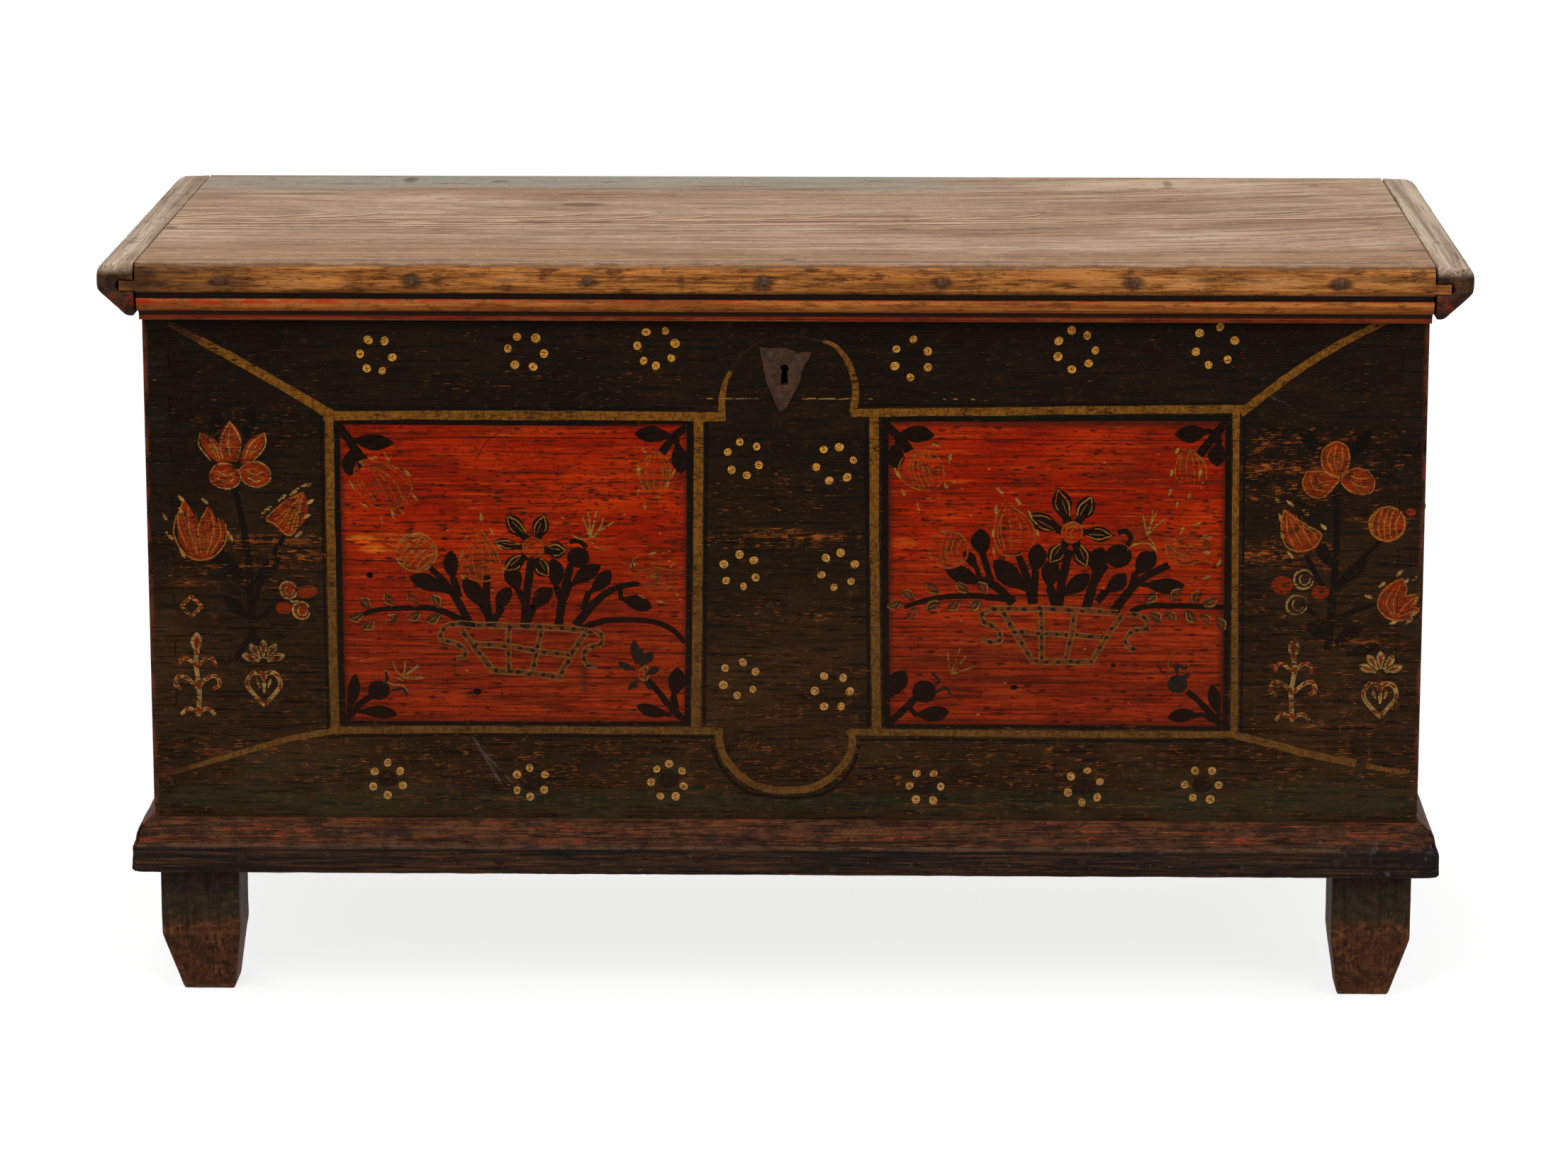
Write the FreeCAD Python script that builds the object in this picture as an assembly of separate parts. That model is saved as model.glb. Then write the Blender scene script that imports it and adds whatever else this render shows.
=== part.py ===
"""A painted pine wedding chest: dovetailed case, block feet, cleated lid, iron hinges, lock and handles.

Lengths are in millimetres. X runs across the front, Y from the front to the back and Z up.
The origin is on the floor, under the centre of the whole chest.
"""
import FreeCAD, Part
import math
import os

V = FreeCAD.Vector

# Case
case_width = 1200.0
case_depth = 540.0
wall_height = 537.0
front_wall = 26.0
side_wall = 24.0
back_wall = 24.0
bottom_thickness = 22.0
front_upper_height = 140.0
back_upper_height = 270.0
bottom_board_count = 3

# Corner dovetails: the sides carry the tails, the front and back carry the pins
tail_count = 11
tail_width = 27.0
tail_slope_share = 0.16

# Feet
foot_height = 126.0
foot_side = 76.0
foot_inset = 3.0
foot_knee_height = 60.0
foot_toe_side = 50.0
foot_toe_inset = 18.0
foot_tenon_radius = 14.0
foot_wedge_thickness = 4.0
foot_wedge_length = 18.0
wedge_tip_share = 0.3

# Plinth moulding, as shares of its depth and height; four numbers are an arc's middle and end
plinth_depth = 21.0
plinth_height = 53.0
plinth_shares = [
    (0, 0), (0.9, 0), (0.98, 0.02, 1, 0.1), (1, 0.4), (0.98, 0.48, 0.9, 0.53),
    (0.82, 0.55), (0.8, 0.64), (0.68, 0.82, 0.41, 0.915), (0.2, 0.975), (0, 1),
]

# Lid boards, with the tongue that is worked on their ends
lid_thickness = 30.0
lid_gap = 0.6
lid_front_gap = 3.0
lid_side_gap = 2.5
lid_rear_overhang = 4.0
front_plank_width = 243.0
shoulder_gap = 2.0
tongue_drop = 17.0
tongue_thickness = 9.0
tongue_length = 13.0
groove_depth = 16.0

# Lid front moulding, as shares of its depth and height below the lid's top
moulding_depth = 36.0
moulding_height = 57.0
moulding_shares = [
    (0, 0), (0.72, 0), (0.93, 0.055, 1, 0.19), (1, 0.37), (0.975, 0.455, 0.89, 0.505),
    (0.82, 0.515), (0.8, 0.575), (0.85, 0.59), (0.81, 0.74, 0.58, 0.82), (0.53, 0.825),
    (0.5, 0.845), (0.41, 0.87, 0.37, 0.915), (0.35, 0.985), (0.31, 1), (0, 1),
]

# Lid end cleats, as shares of their width and height below the lid's top
cleat_width = 35.0
cleat_height = 50.0
cleat_setback = 1.0
cleat_front_rounding = 7.0
cleat_rear_rounding = 20.0
cleat_shares = [
    (0, 0), (0.6, 0), (0.89, 0.065, 1, 0.25), (1, 0.44), (0.97, 0.51, 0.88, 0.57),
    (0.33, 0.92), (0.22, 0.985, 0.1, 1), (0, 1),
]

# Nails
nail_radius = 1.6
nail_head_radius = 5.0
nail_head_height = 1.8
nail_length = 48.0
short_nail_length = 16.0
short_nail_radius = 1.2
short_nail_head_radius = 3.2
short_nail_head_height = 1.2
nail_fit = 0.05
nail_crown_share = 0.45
moulding_nail_shares = (-0.87, -0.573, -0.302, -0.032, 0.243, 0.538, 0.855)
moulding_nail_drop = 16.0
cleat_nail_shares = (0.14, 0.5, 0.86)
plinth_nail_shares = (-0.86, -0.45, 0.02, 0.47, 0.87)
plinth_side_nail_shares = (0.15, 0.52, 0.86)
plinth_nail_rise = 15.0
bottom_nail_shares = (-0.72, -0.36, 0, 0.36, 0.72)
bottom_side_nail_shares = (0.42, 0.58)

# Strap hinges
hinge_spacing = 780.0
strap_thickness = 3.0
strap_width = 34.0
strap_end_width = 22.0
lid_strap_length = 330.0
back_strap_length = 230.0
strap_tip_length = 34.0
strap_neck_share = 0.7
strap_swell_share = 0.4
hinge_pin_radius = 3.0
hinge_pin_head = 2.5
hinge_pin_head_radius = 4.6
pin_clearance = 0.05
knuckle_gap = 0.5
middle_knuckle_share = 0.42
strap_notch_gap = 0.5
lid_strap_nail_shares = (0.18, 0.45, 0.72, 0.88)
back_strap_nail_shares = (0.24, 0.52, 0.8)

# Keyhole and escutcheon
key_drop = 73.5
key_radius = 4.2
key_slot_length = 17.0
key_slot_top = 4.8
key_slot_bottom = 7.6
escutcheon_thickness = 1.4
escutcheon_width = 48.6
escutcheon_height = 61.8
escutcheon_shares = [
    (-0.48, 0.333), (-0.26, 0.315), (-0.05, 0.325, 0.145, 0.288), (0.26, 0.241), (0.34, 0.268),
    (0.52, 0.256), (0.485, 0.176), (0.385, 0.058), (0.335, -0.032), (0.3, -0.19), (0.16, -0.411),
    (0.03, -0.595), (-0.08, -0.667), (-0.16, -0.555), (-0.255, -0.372), (-0.34, -0.215),
    (-0.4, -0.02), (-0.42, 0.112), (-0.445, 0.176),
]
escutcheon_nail_shares = ((-0.28, 0.225), (0.26, 0.165), (-0.08, -0.43))

# Lock on the inside of the front
lock_plate_width = 150.0
lock_plate_height = 104.0
lock_plate_thickness = 2.5
lock_plate_corner = 5.0
lock_plate_drop = 7.0
lock_cover_width = 124.0
lock_cover_height = 90.0
lock_cover_depth = 22.5
lock_cover_wall = 2.0
lock_cover_drop = 13.0
bolt_width = 5.0
bolt_height = 8.0
bolt_drop = 25.4
bolt_length = 80.0
bolt_travel = 14.0
bolt_lug_width = 14.0
bolt_notch_width = 6.0
bolt_notch_depth = 10.0
bolt_clearance = 0.3
key_bit_reach = 16.0
guide_thickness = 1.6
guide_length = 6.0
guide_setback = 2.5
far_guide_offset = 42.0
keeper_bite = 4.0
spring_thickness = 1.0
spring_post = 5.0
spring_reach = 22.0
spring_rise = 6.0
spring_sag_share = 0.3

# Staple on the lid
staple_offset = 26.0
staple_clearance = 1.5
staple_rod_radius = 2.0
staple_bend = 2.4
staple_inner = 7.0
staple_drop = 33.7
staple_slot_gap = 2.0
staple_plate_width = 60.0
staple_plate_depth = 24.0
staple_plate_thickness = 2.5

# Carrying handles on the ends
handle_height = 440.0
handle_above_joint = 5.0
handle_offset = 12.0
bail_radius = 4.5
bail_grip_radius = 6.2
bail_half_width = 48.0
bail_drop = 52.0
bail_bend = 6.5
bail_stub = 20.0
bail_knob_radius = 6.4
eye_wire_radius = 2.6
eye_clearance = 0.3
eye_rivet_radius = 6.5
eye_rivet_height = 2.0
rosette_radius = 14.0
rosette_thickness = 1.5

# Till inside the left end
till_width = 170.0
till_height = 92.0
till_top_drop = 28.0
till_front_thickness = 12.0
till_bottom_thickness = 10.0
till_groove = 8.0

# Edges that wear has softened
plank_edge = 2.5
foot_edge = 2.0
cut_over = 5.0

# Levels and faces that follow from the sizes above
half_width = case_width / 2
knuckle_radius = hinge_pin_radius + strap_thickness
front_out = lid_front_gap + moulding_depth + nail_head_height
whole_depth = front_out + case_depth + 2 * knuckle_radius
front_y = front_out - whole_depth / 2
back_y = front_y + case_depth
inner_front_y = front_y + front_wall
inner_back_y = back_y - back_wall
wall_foot = foot_height + bottom_thickness
rim = wall_foot + wall_height
lid_under = rim + lid_gap
lid_top = lid_under + lid_thickness
shoulder_x = half_width + lid_side_gap - shoulder_gap
cleat_x = half_width + lid_side_gap
plank_front_y = front_y - lid_front_gap
plank_rear_y = back_y + lid_rear_overhang
nose_y = plank_front_y - moulding_depth
hinge_y = back_y + knuckle_radius
hinge_z = lid_under - knuckle_radius
key_z = rim - key_drop
plate_back_y = inner_front_y + lock_plate_thickness
bolt_z = rim - bolt_drop
bolt_y = plate_back_y + staple_clearance + 2 * staple_rod_radius + staple_inner / 2 + bolt_clearance
bolt_tip_x = staple_offset - staple_rod_radius - staple_clearance
guide_end_x = bolt_tip_x - guide_setback
lug_x = guide_end_x - guide_length - bolt_clearance - bolt_travel - bolt_lug_width
keeper_x = bolt_tip_x + bolt_travel - keeper_bite
middle_y = front_y + case_depth / 2


def box(x0, x1, y0, y1, z0, z1):
    """A box from its two corners."""
    return Part.makeBox(x1 - x0, y1 - y0, z1 - z0, V(x0, y0, z0))


def rod(radius, start, end):
    """A cylinder between two points."""
    axis = end - start
    return Part.makeCylinder(radius, axis.Length, start, axis)


def outline(points, place):
    """A closed wire through points, where an entry of four numbers is an arc's middle and end."""
    edges = []
    here = points[0]
    for point in points[1:] + points[:1]:
        end = point[-2:]
        if len(point) == 4:
            arc = Part.Arc(place(*here), place(*point[:2]), place(*end))
            edges.append(arc.toShape())
        else:
            edges.append(Part.makeLine(place(*here), place(*end)))
        here = end
    return Part.Wire(edges)


def prism(points, place, sweep):
    """The solid that an outline sweeps along a straight line."""
    return Part.Face(outline(points, place)).extrude(sweep)


def softened(shape, size, chosen):
    """The shape with the chosen straight edges rounded."""
    edges = [edge for edge in shape.Edges if chosen(edge)]
    return shape.makeFillet(size, edges) if edges else shape


def lies_at(edge, **levels):
    """Whether every point of an edge has the given coordinates."""
    near = 1e-6
    corners = [vertex.Point for vertex in edge.Vertexes]
    return all(
        abs(getattr(corner, axis) - level) < near for corner in corners for axis, level in levels.items()
    )


def nail(head, direction, length=nail_length, radius=nail_radius,
         head_radius=nail_head_radius, head_height=nail_head_height):
    """A wrought nail whose head lies on a surface and whose shank runs into it."""
    shank = Part.makeCylinder(radius, length, head, direction)
    crown = Part.makeCone(head_radius, head_radius * nail_crown_share, head_height, head, -direction)
    return shank.fuse(crown).removeSplitter()


def short_nail(head, direction, length=short_nail_length):
    """A small nail, as holds a strap or a plate."""
    return nail(head, direction, length, short_nail_radius, short_nail_head_radius, short_nail_head_height)


def nail_hole(head, direction, length=nail_length, radius=nail_radius):
    """The hole that a nail's shank fills."""
    back = head - direction * cut_over
    return Part.makeCylinder(radius + nail_fit, length + nail_fit + cut_over, back, direction)


def short_nail_hole(head, direction, length=short_nail_length):
    """The hole of a small nail."""
    return nail_hole(head, direction, length, short_nail_radius)


# Places of the nails: each list holds the head's point and the way that the shank runs
def moulding_nails():
    """Nails through the lid's front moulding into the front plank."""
    z = lid_top - moulding_nail_drop
    return [(V(share * shoulder_x, nose_y, z), V(0, 1, 0)) for share in moulding_nail_shares]


def cleat_nails():
    """Nails through each end cleat into the planks' tongue."""
    z = lid_top - tongue_drop - tongue_thickness / 2
    span = plank_rear_y - plank_front_y
    places = []
    for side in (-1, 1):
        for share in cleat_nail_shares:
            y = plank_front_y + share * span
            places.append((V(side * (cleat_x + cleat_width), y, z), V(-side, 0, 0)))
    return places


def plinth_nails():
    """Nails through the plinth into the case."""
    z = foot_height + plinth_nail_rise
    places = [(V(share * half_width, front_y - plinth_depth, z), V(0, 1, 0)) for share in plinth_nail_shares]
    for side in (-1, 1):
        for share in plinth_side_nail_shares:
            y = front_y + share * case_depth
            places.append((V(side * (half_width + plinth_depth), y, z), V(-side, 0, 0)))
    return places


def bottom_nails():
    """Nails up through the bottom boards into the walls."""
    places = []
    for y in (front_y + front_wall / 2, back_y - back_wall / 2):
        places += [V(share * half_width, y, foot_height) for share in bottom_nail_shares]
    for side in (-1, 1):
        x = side * (half_width - side_wall / 2)
        places += [V(x, front_y + share * case_depth, foot_height) for share in bottom_side_nail_shares]
    return [(place, V(0, 0, 1)) for place in places]


def lid_strap_nails(x):
    """Small nails that hold a hinge strap to the lid's underside."""
    z = lid_under - strap_thickness
    return [(V(x, back_y - share * lid_strap_length, z), V(0, 0, 1)) for share in lid_strap_nail_shares]


def back_strap_nails(x):
    """Small nails that hold a hinge strap to the back of the case."""
    y = back_y + strap_thickness
    return [(V(x, y, hinge_z - share * back_strap_length), V(0, -1, 0)) for share in back_strap_nail_shares]


def escutcheon_nails():
    """Small nails that hold the escutcheon."""
    y = front_y - escutcheon_thickness
    return [
        (V(u * escutcheon_width, y, key_z + v * escutcheon_height), V(0, 1, 0))
        for u, v in escutcheon_nail_shares
    ]


def lock_nails():
    """Small nails at the lock plate's corners, driven from the inside."""
    edge = (lock_plate_width - lock_cover_width) / 4
    x = lock_plate_width / 2 - edge
    top = rim - lock_plate_drop
    heights = (top - edge, top - lock_plate_height + edge)
    return [(V(side * x, plate_back_y, z), V(0, -1, 0)) for side in (-1, 1) for z in heights]


def staple_nails():
    """Small nails that hold the staple's plate to the lid."""
    z = lid_under - staple_plate_thickness
    x = staple_plate_width / 2 - 2 * short_nail_head_radius
    y = inner_front_y + staple_clearance + staple_plate_depth / 2
    return [(V(staple_offset + side * x, y, z), V(0, 0, 1)) for side in (-1, 1)]


hinge_places = {"left": -hinge_spacing / 2, "right": hinge_spacing / 2}


def cut_all(shape, tools):
    """The shape with every tool taken away."""
    return shape.cut(list(tools)) if tools else shape


# Case
def tails(side, at_front):
    """The dovetails that one side board sends through the front or the back."""
    thickness = front_wall if at_front else back_wall
    outer = front_y if at_front else back_y
    inner = inner_front_y if at_front else inner_back_y
    x0 = half_width - side_wall if side > 0 else -half_width
    pitch = wall_height / tail_count
    root = tail_width / 2 - tail_slope_share * thickness
    solids = []
    for index in range(tail_count):
        z = wall_foot + (index + 0.5) * pitch
        low, high = z - tail_width / 2, z + tail_width / 2
        points = [(outer, low), (outer, high), (inner, z + root), (inner, z - root)]
        solids.append(prism(points, lambda y, z: V(x0, y, z), V(side_wall, 0, 0)))
    return solids


def side_panel(side):
    """One end of the case as one panel, with tails at the front and the back."""
    x0 = half_width - side_wall if side > 0 else -half_width
    core = box(x0, x0 + side_wall, inner_front_y, inner_back_y, wall_foot, rim)
    return core.fuse(tails(side, True) + tails(side, False)).removeSplitter()


def face_panel(at_front):
    """The front or the back as one panel, cut for the tails of both ends."""
    y0, y1 = (front_y, inner_front_y) if at_front else (inner_back_y, back_y)
    panel = box(-half_width, half_width, y0, y1, wall_foot, rim)
    return panel.cut(tails(-1, at_front) + tails(1, at_front))


def split_at(panel, height, top, bottom):
    """The panel's boards, above and below the glue joint at a height."""
    reach = case_width
    upper = panel.common(box(-reach, reach, -reach, reach, height, top))
    lower = panel.common(box(-reach, reach, -reach, reach, bottom, height))
    return upper, lower


def keyhole(y0, y1):
    """The keyhole's round and slot, from one Y to another."""
    hole = rod(key_radius, V(0, y0, key_z), V(0, y1, key_z))
    points = [
        (-key_slot_top / 2, key_z), (key_slot_top / 2, key_z),
        (key_slot_bottom / 2, key_z - key_slot_length), (-key_slot_bottom / 2, key_z - key_slot_length),
    ]
    return hole.fuse(prism(points, lambda x, z: V(x, y0, z), V(0, y1 - y0, 0)))


def till_levels():
    """The till's top and bottom, and the outer face of its front board."""
    top = rim - till_top_drop
    return top, top - till_height, till_width - half_width + side_wall


def till_grooves():
    """Grooves in the front, the back and the left end that hold the till."""
    top, bottom, x = till_levels()
    y0, y1 = inner_front_y - till_groove, inner_back_y + till_groove
    x0 = side_wall - half_width - till_groove
    upright = box(x, x + till_front_thickness, y0, y1, bottom, top)
    floor = box(x0, x, y0, y1, bottom, bottom + till_bottom_thickness)
    return [upright, floor]


def strap_notch(x):
    """The notch in the back's rim that a lid strap lies in."""
    half = strap_width / 2 + strap_notch_gap
    floor = lid_under - strap_thickness - strap_notch_gap
    return box(x - half, x + half, inner_back_y - cut_over, back_y + cut_over, floor, rim + cut_over)


def handle_eye_places(side):
    """The centres of the two eyes that carry one handle."""
    x = side * (half_width + handle_offset)
    spread = bail_half_width + bail_stub / 2
    return [V(x, middle_y - spread, handle_height), V(x, middle_y + spread, handle_height)]


def case_boards():
    """The eight wall boards, with every groove, notch and hole cut."""
    nodes = {}
    front = cut_all(face_panel(True), till_grooves())
    front = front.cut(keyhole(front_y - cut_over, inner_front_y + cut_over))
    front = cut_all(front, [nail_hole(*place) for place in plinth_nails() + bottom_nails()])
    front = cut_all(front, [short_nail_hole(*place) for place in escutcheon_nails() + lock_nails()])
    back = cut_all(face_panel(False), till_grooves() + [strap_notch(x) for x in hinge_places.values()])
    back = cut_all(back, [nail_hole(*place) for place in bottom_nails()])
    back = cut_all(back, [short_nail_hole(*p) for x in hinge_places.values() for p in back_strap_nails(x)])
    nodes["front_upper_board"], nodes["front_lower_board"] = split_at(
        front, rim - front_upper_height, rim, wall_foot)
    nodes["back_upper_board"], nodes["back_lower_board"] = split_at(
        back, rim - back_upper_height, rim, wall_foot)
    for name, side in (("left", -1), ("right", 1)):
        panel = cut_all(side_panel(side), [nail_hole(*place) for place in plinth_nails() + bottom_nails()])
        shanks = [
            rod(eye_wire_radius + nail_fit, V(side * (half_width + cut_over), eye.y, eye.z),
                V(side * (half_width - side_wall - cut_over), eye.y, eye.z))
            for eye in handle_eye_places(side)
        ]
        panel = cut_all(panel, till_grooves() + shanks)
        nodes[name + "_upper_board"], nodes[name + "_lower_board"] = split_at(
            panel, handle_height - handle_above_joint, rim, wall_foot)
    return nodes


def foot_places():
    """Each foot's name with the signs of its corner."""
    return {
        "front_left_foot": (-1, -1), "front_right_foot": (1, -1),
        "rear_left_foot": (-1, 1), "rear_right_foot": (1, 1),
    }


def foot_corner(across, along):
    """The outer corner of a foot, in from the case's corner."""
    x = across * (half_width - foot_inset)
    y = front_y + foot_inset if along < 0 else back_y - foot_inset
    return x, y


def foot_centre(across, along):
    """The middle of a foot's top."""
    x, y = foot_corner(across, along)
    return x - across * foot_side / 2, y - along * foot_side / 2


def foot_section(across, along, inset, side, z):
    """A square section of a foot, with its outer corner set in by an inset."""
    x, y = foot_corner(across, along)
    x0, y0 = x - across * inset, y - along * inset
    x1, y1 = x0 - across * side, y0 - along * side
    return Part.makePolygon([V(x0, y0, z), V(x1, y0, z), V(x1, y1, z), V(x0, y1, z), V(x0, y0, z)])


def tenon(across, along):
    """The round tenon that a foot sends up through the bottom board."""
    x, y = foot_centre(across, along)
    return rod(foot_tenon_radius, V(x, y, foot_height), V(x, y, wall_foot))


def foot_wedge(across, along):
    """The wedge that spreads a foot's tenon, driven from the inside of the chest."""
    x, y = foot_centre(across, along)
    half = foot_wedge_thickness / 2
    tip = half * wedge_tip_share
    low = wall_foot - foot_wedge_length
    points = [(x - half, wall_foot), (x + half, wall_foot), (x + tip, low), (x - tip, low)]
    blade = prism(points, lambda x, z: V(x, y - foot_side, z), V(0, 2 * foot_side, 0))
    return blade.common(tenon(across, along))


def foot(across, along):
    """A block foot that tapers below its knee, with its wedged tenon."""
    block = Part.makeLoft([
        foot_section(across, along, 0, foot_side, foot_knee_height),
        foot_section(across, along, 0, foot_side, foot_height),
    ], True, True)
    toe = Part.makeLoft([
        foot_section(across, along, foot_toe_inset, foot_toe_side, 0),
        foot_section(across, along, 0, foot_side, foot_knee_height),
    ], True, True)
    body = block.fuse(toe).removeSplitter()
    corners = [e for e in body.Edges if abs(e.Vertexes[0].Z - e.Vertexes[-1].Z) > foot_edge]
    body = body.makeFillet(foot_edge, corners)
    return body.fuse(tenon(across, along)).cut(foot_wedge(across, along))


def bottom_boards():
    """The boards of the chest's bottom, side by side from the front to the back."""
    width = case_depth / bottom_board_count
    holes = [tenon(*signs) for signs in foot_places().values()]
    holes += [nail_hole(*place) for place in bottom_nails() + plinth_nails()]
    names = ["bottom_front_board", "bottom_middle_board", "bottom_rear_board"]
    nodes = {}
    for index in range(bottom_board_count):
        y0 = front_y + index * width
        name = names[index] if index < len(names) else f"bottom_board_{index + 1}"
        nodes[name] = cut_all(box(-half_width, half_width, y0, y0 + width, foot_height, wall_foot), holes)
    return nodes


def mitre(side, for_front):
    """The prism that a mitre takes off the end of a plinth moulding."""
    x, y = side * half_width, front_y
    reach = 2 * plinth_depth
    far = (x + side * reach, y - reach)
    third = (x + side * reach, y) if for_front else (x, y - reach)
    points = [(x, y), far, third]
    low = foot_height - cut_over
    return prism(points, lambda x, y: V(x, y, low), V(0, 0, plinth_height + 2 * cut_over))


def plinth():
    """The three mitred mouldings round the foot of the case."""
    holes = [nail_hole(*place) for place in plinth_nails()]
    reach = half_width + plinth_depth

    def at_front(u, v):
        return V(-reach, front_y - u * plinth_depth, foot_height + v * plinth_height)

    front = prism(plinth_shares, at_front, V(2 * reach, 0, 0))
    nodes = {"plinth_front": cut_all(front, [mitre(-1, True), mitre(1, True)] + holes)}
    for name, side in (("plinth_left", -1), ("plinth_right", 1)):
        def at_side(u, v):
            x = side * (half_width + u * plinth_depth)
            return V(x, front_y - plinth_depth, foot_height + v * plinth_height)

        moulding = prism(plinth_shares, at_side, V(0, case_depth + plinth_depth, 0))
        nodes[name] = cut_all(moulding, [mitre(side, False)] + holes)
    return nodes


# Lid
def tongue(y0, y1):
    """The tongue on both ends of a lid board, as one bar from end to end."""
    reach = cleat_x + tongue_length
    top = lid_top - tongue_drop
    return box(-reach, reach, y0, y1, top - tongue_thickness, top)


def lid_planks():
    """The two boards of the lid's top."""
    joint = plank_front_y + front_plank_width
    nail_holes = [nail_hole(*place) for place in moulding_nails() + cleat_nails()]
    nail_holes += [short_nail_hole(*p) for x in hinge_places.values() for p in lid_strap_nails(x)]
    nail_holes += [short_nail_hole(*place) for place in staple_nails()]
    nodes = {}
    for name, y0, y1 in (("lid_front_plank", plank_front_y, joint), ("lid_rear_plank", joint, plank_rear_y)):
        plank = box(-shoulder_x, shoulder_x, y0, y1, lid_under, lid_top)
        if y1 == plank_rear_y:
            plank = softened(plank, plank_edge, lambda e: lies_at(e, y=plank_rear_y, z=lid_top))
        nodes[name] = cut_all(plank.fuse(tongue(y0, y1)), nail_holes)
    return nodes


def lid_moulding():
    """The moulded strip along the lid's front, whose lip hangs before the case."""
    def place(u, v):
        return V(-shoulder_x, plank_front_y - u * moulding_depth, lid_top - v * moulding_height)

    strip = prism(moulding_shares, place, V(2 * shoulder_x, 0, 0))
    whole = strip.fuse(tongue(nose_y + cleat_setback, plank_front_y))
    return cut_all(whole, [nail_hole(*p) for p in moulding_nails()])


def cleat_plan(side):
    """A cleat's outline from above, rounded at its outer corners."""
    x0, x1 = cleat_x, cleat_x + cleat_width
    y0, y1 = nose_y + cleat_setback, plank_rear_y
    block = box(x0, x1, y0, y1, lid_top - cleat_height, lid_top)
    block = softened(block, cleat_front_rounding, lambda e: lies_at(e, x=x1, y=y0))
    block = softened(block, cleat_rear_rounding, lambda e: lies_at(e, x=x1, y=y1))
    return block if side > 0 else block.mirror(V(0, 0, 0), V(1, 0, 0))


def lid_cleats():
    """The grooved cleats that clamp the lid's ends and hang beside the case."""
    top = lid_top - tongue_drop
    nodes = {}
    for name, side in (("lid_left_cleat", -1), ("lid_right_cleat", 1)):
        def place(u, v):
            return V(side * (cleat_x + u * cleat_width), nose_y, lid_top - v * cleat_height)

        bar = prism(cleat_shares, place, V(0, plank_rear_y - nose_y, 0)).common(cleat_plan(side))
        reach = side * (cleat_x + groove_depth)
        near = side * (cleat_x - cut_over)
        groove = box(min(near, reach), max(near, reach), nose_y - cut_over, plank_rear_y + cut_over,
                     top - tongue_thickness, top)
        nodes[name] = cut_all(bar, [groove] + [nail_hole(*p) for p in cleat_nails()])
    return nodes


# Hinges
def strap_plan(length):
    """A strap's outline, as half widths along its length, ending in a leaf point."""
    wide, narrow = strap_width / 2, strap_end_width / 2
    neck = length - strap_tip_length
    swell = neck + strap_tip_length * strap_swell_share
    slim = narrow * strap_neck_share
    return [
        (0, -wide), (neck, -slim), (swell, -narrow), (length, 0), (swell, narrow), (neck, slim), (0, wide),
    ]


def knuckle(x, middle):
    """The rolled eye of a strap: the middle third, or the two outer thirds."""
    half = strap_width / 2
    core = half * middle_knuckle_share
    spans = [(-core, core)] if middle else [(-half, -core - knuckle_gap), (core + knuckle_gap, half)]
    return [rod(knuckle_radius, V(x + a, hinge_y, hinge_z), V(x + b, hinge_y, hinge_z)) for a, b in spans]


def hinge_bore(x, clearance):
    """The bore that a hinge's pin turns in."""
    reach = strap_width / 2 + cut_over
    start, end = V(x - reach, hinge_y, hinge_z), V(x + reach, hinge_y, hinge_z)
    return rod(hinge_pin_radius + clearance, start, end)


def beyond_knuckle(x, middle):
    """The room that one strap leaves for the other one's knuckles."""
    half = strap_width / 2
    core = half * middle_knuckle_share
    reach = knuckle_radius + knuckle_gap
    if middle:
        spans = [(-core - knuckle_gap, core + knuckle_gap)]
    else:
        spans = [(-half - cut_over, -core), (core, half + cut_over)]
    y0, y1, z0, z1 = hinge_y - reach, hinge_y + reach, hinge_z - reach, hinge_z + reach
    return [box(x + a, x + b, y0, y1, z0, z1) for a, b in spans]


def lid_strap(x):
    """The strap under the lid, with the middle knuckle."""
    z = lid_under - strap_thickness
    plan = strap_plan(lid_strap_length)
    leaf = prism(plan, lambda u, v: V(x + v, back_y - u, z), V(0, 0, strap_thickness))
    half = strap_width / 2 * middle_knuckle_share
    arm = box(x - half, x + half, back_y, hinge_y, z, lid_under)
    strap = leaf.fuse([arm] + knuckle(x, True)).cut(hinge_bore(x, pin_clearance))
    return cut_all(strap, [short_nail_hole(*p) for p in lid_strap_nails(x)])


def back_strap(x):
    """The strap on the back of the case, with the two outer knuckles."""
    plan = strap_plan(back_strap_length)
    leaf = prism(plan, lambda u, v: V(x + v, back_y, hinge_z - u), V(0, strap_thickness, 0))
    leaf = cut_all(leaf, beyond_knuckle(x, True))
    strap = leaf.fuse(knuckle(x, False)).cut(hinge_bore(x, pin_clearance))
    return cut_all(strap, [short_nail_hole(*p) for p in back_strap_nails(x)])


def hinge_pin(x):
    """A hinge's pin, with a head at each end."""
    half = strap_width / 2 + knuckle_gap
    left, right = V(x - half, hinge_y, hinge_z), V(x + half, hinge_y, hinge_z)
    across = V(hinge_pin_head, 0, 0)
    ends = [(left - across, left), (right, right + across)]
    heads = [rod(hinge_pin_head_radius, start, end) for start, end in ends]
    return rod(hinge_pin_radius, left, right).fuse(heads).removeSplitter()


# Lock
def escutcheon():
    """The iron plate round the keyhole, cut by hand to a shield with two ears."""
    y = front_y - escutcheon_thickness
    plate = prism(
        escutcheon_shares,
        lambda u, v: V(u * escutcheon_width, y, key_z + v * escutcheon_height),
        V(0, escutcheon_thickness, 0),
    )
    plate = plate.cut(keyhole(y - cut_over, front_y))
    return cut_all(plate, [short_nail_hole(*p) for p in escutcheon_nails()])


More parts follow.
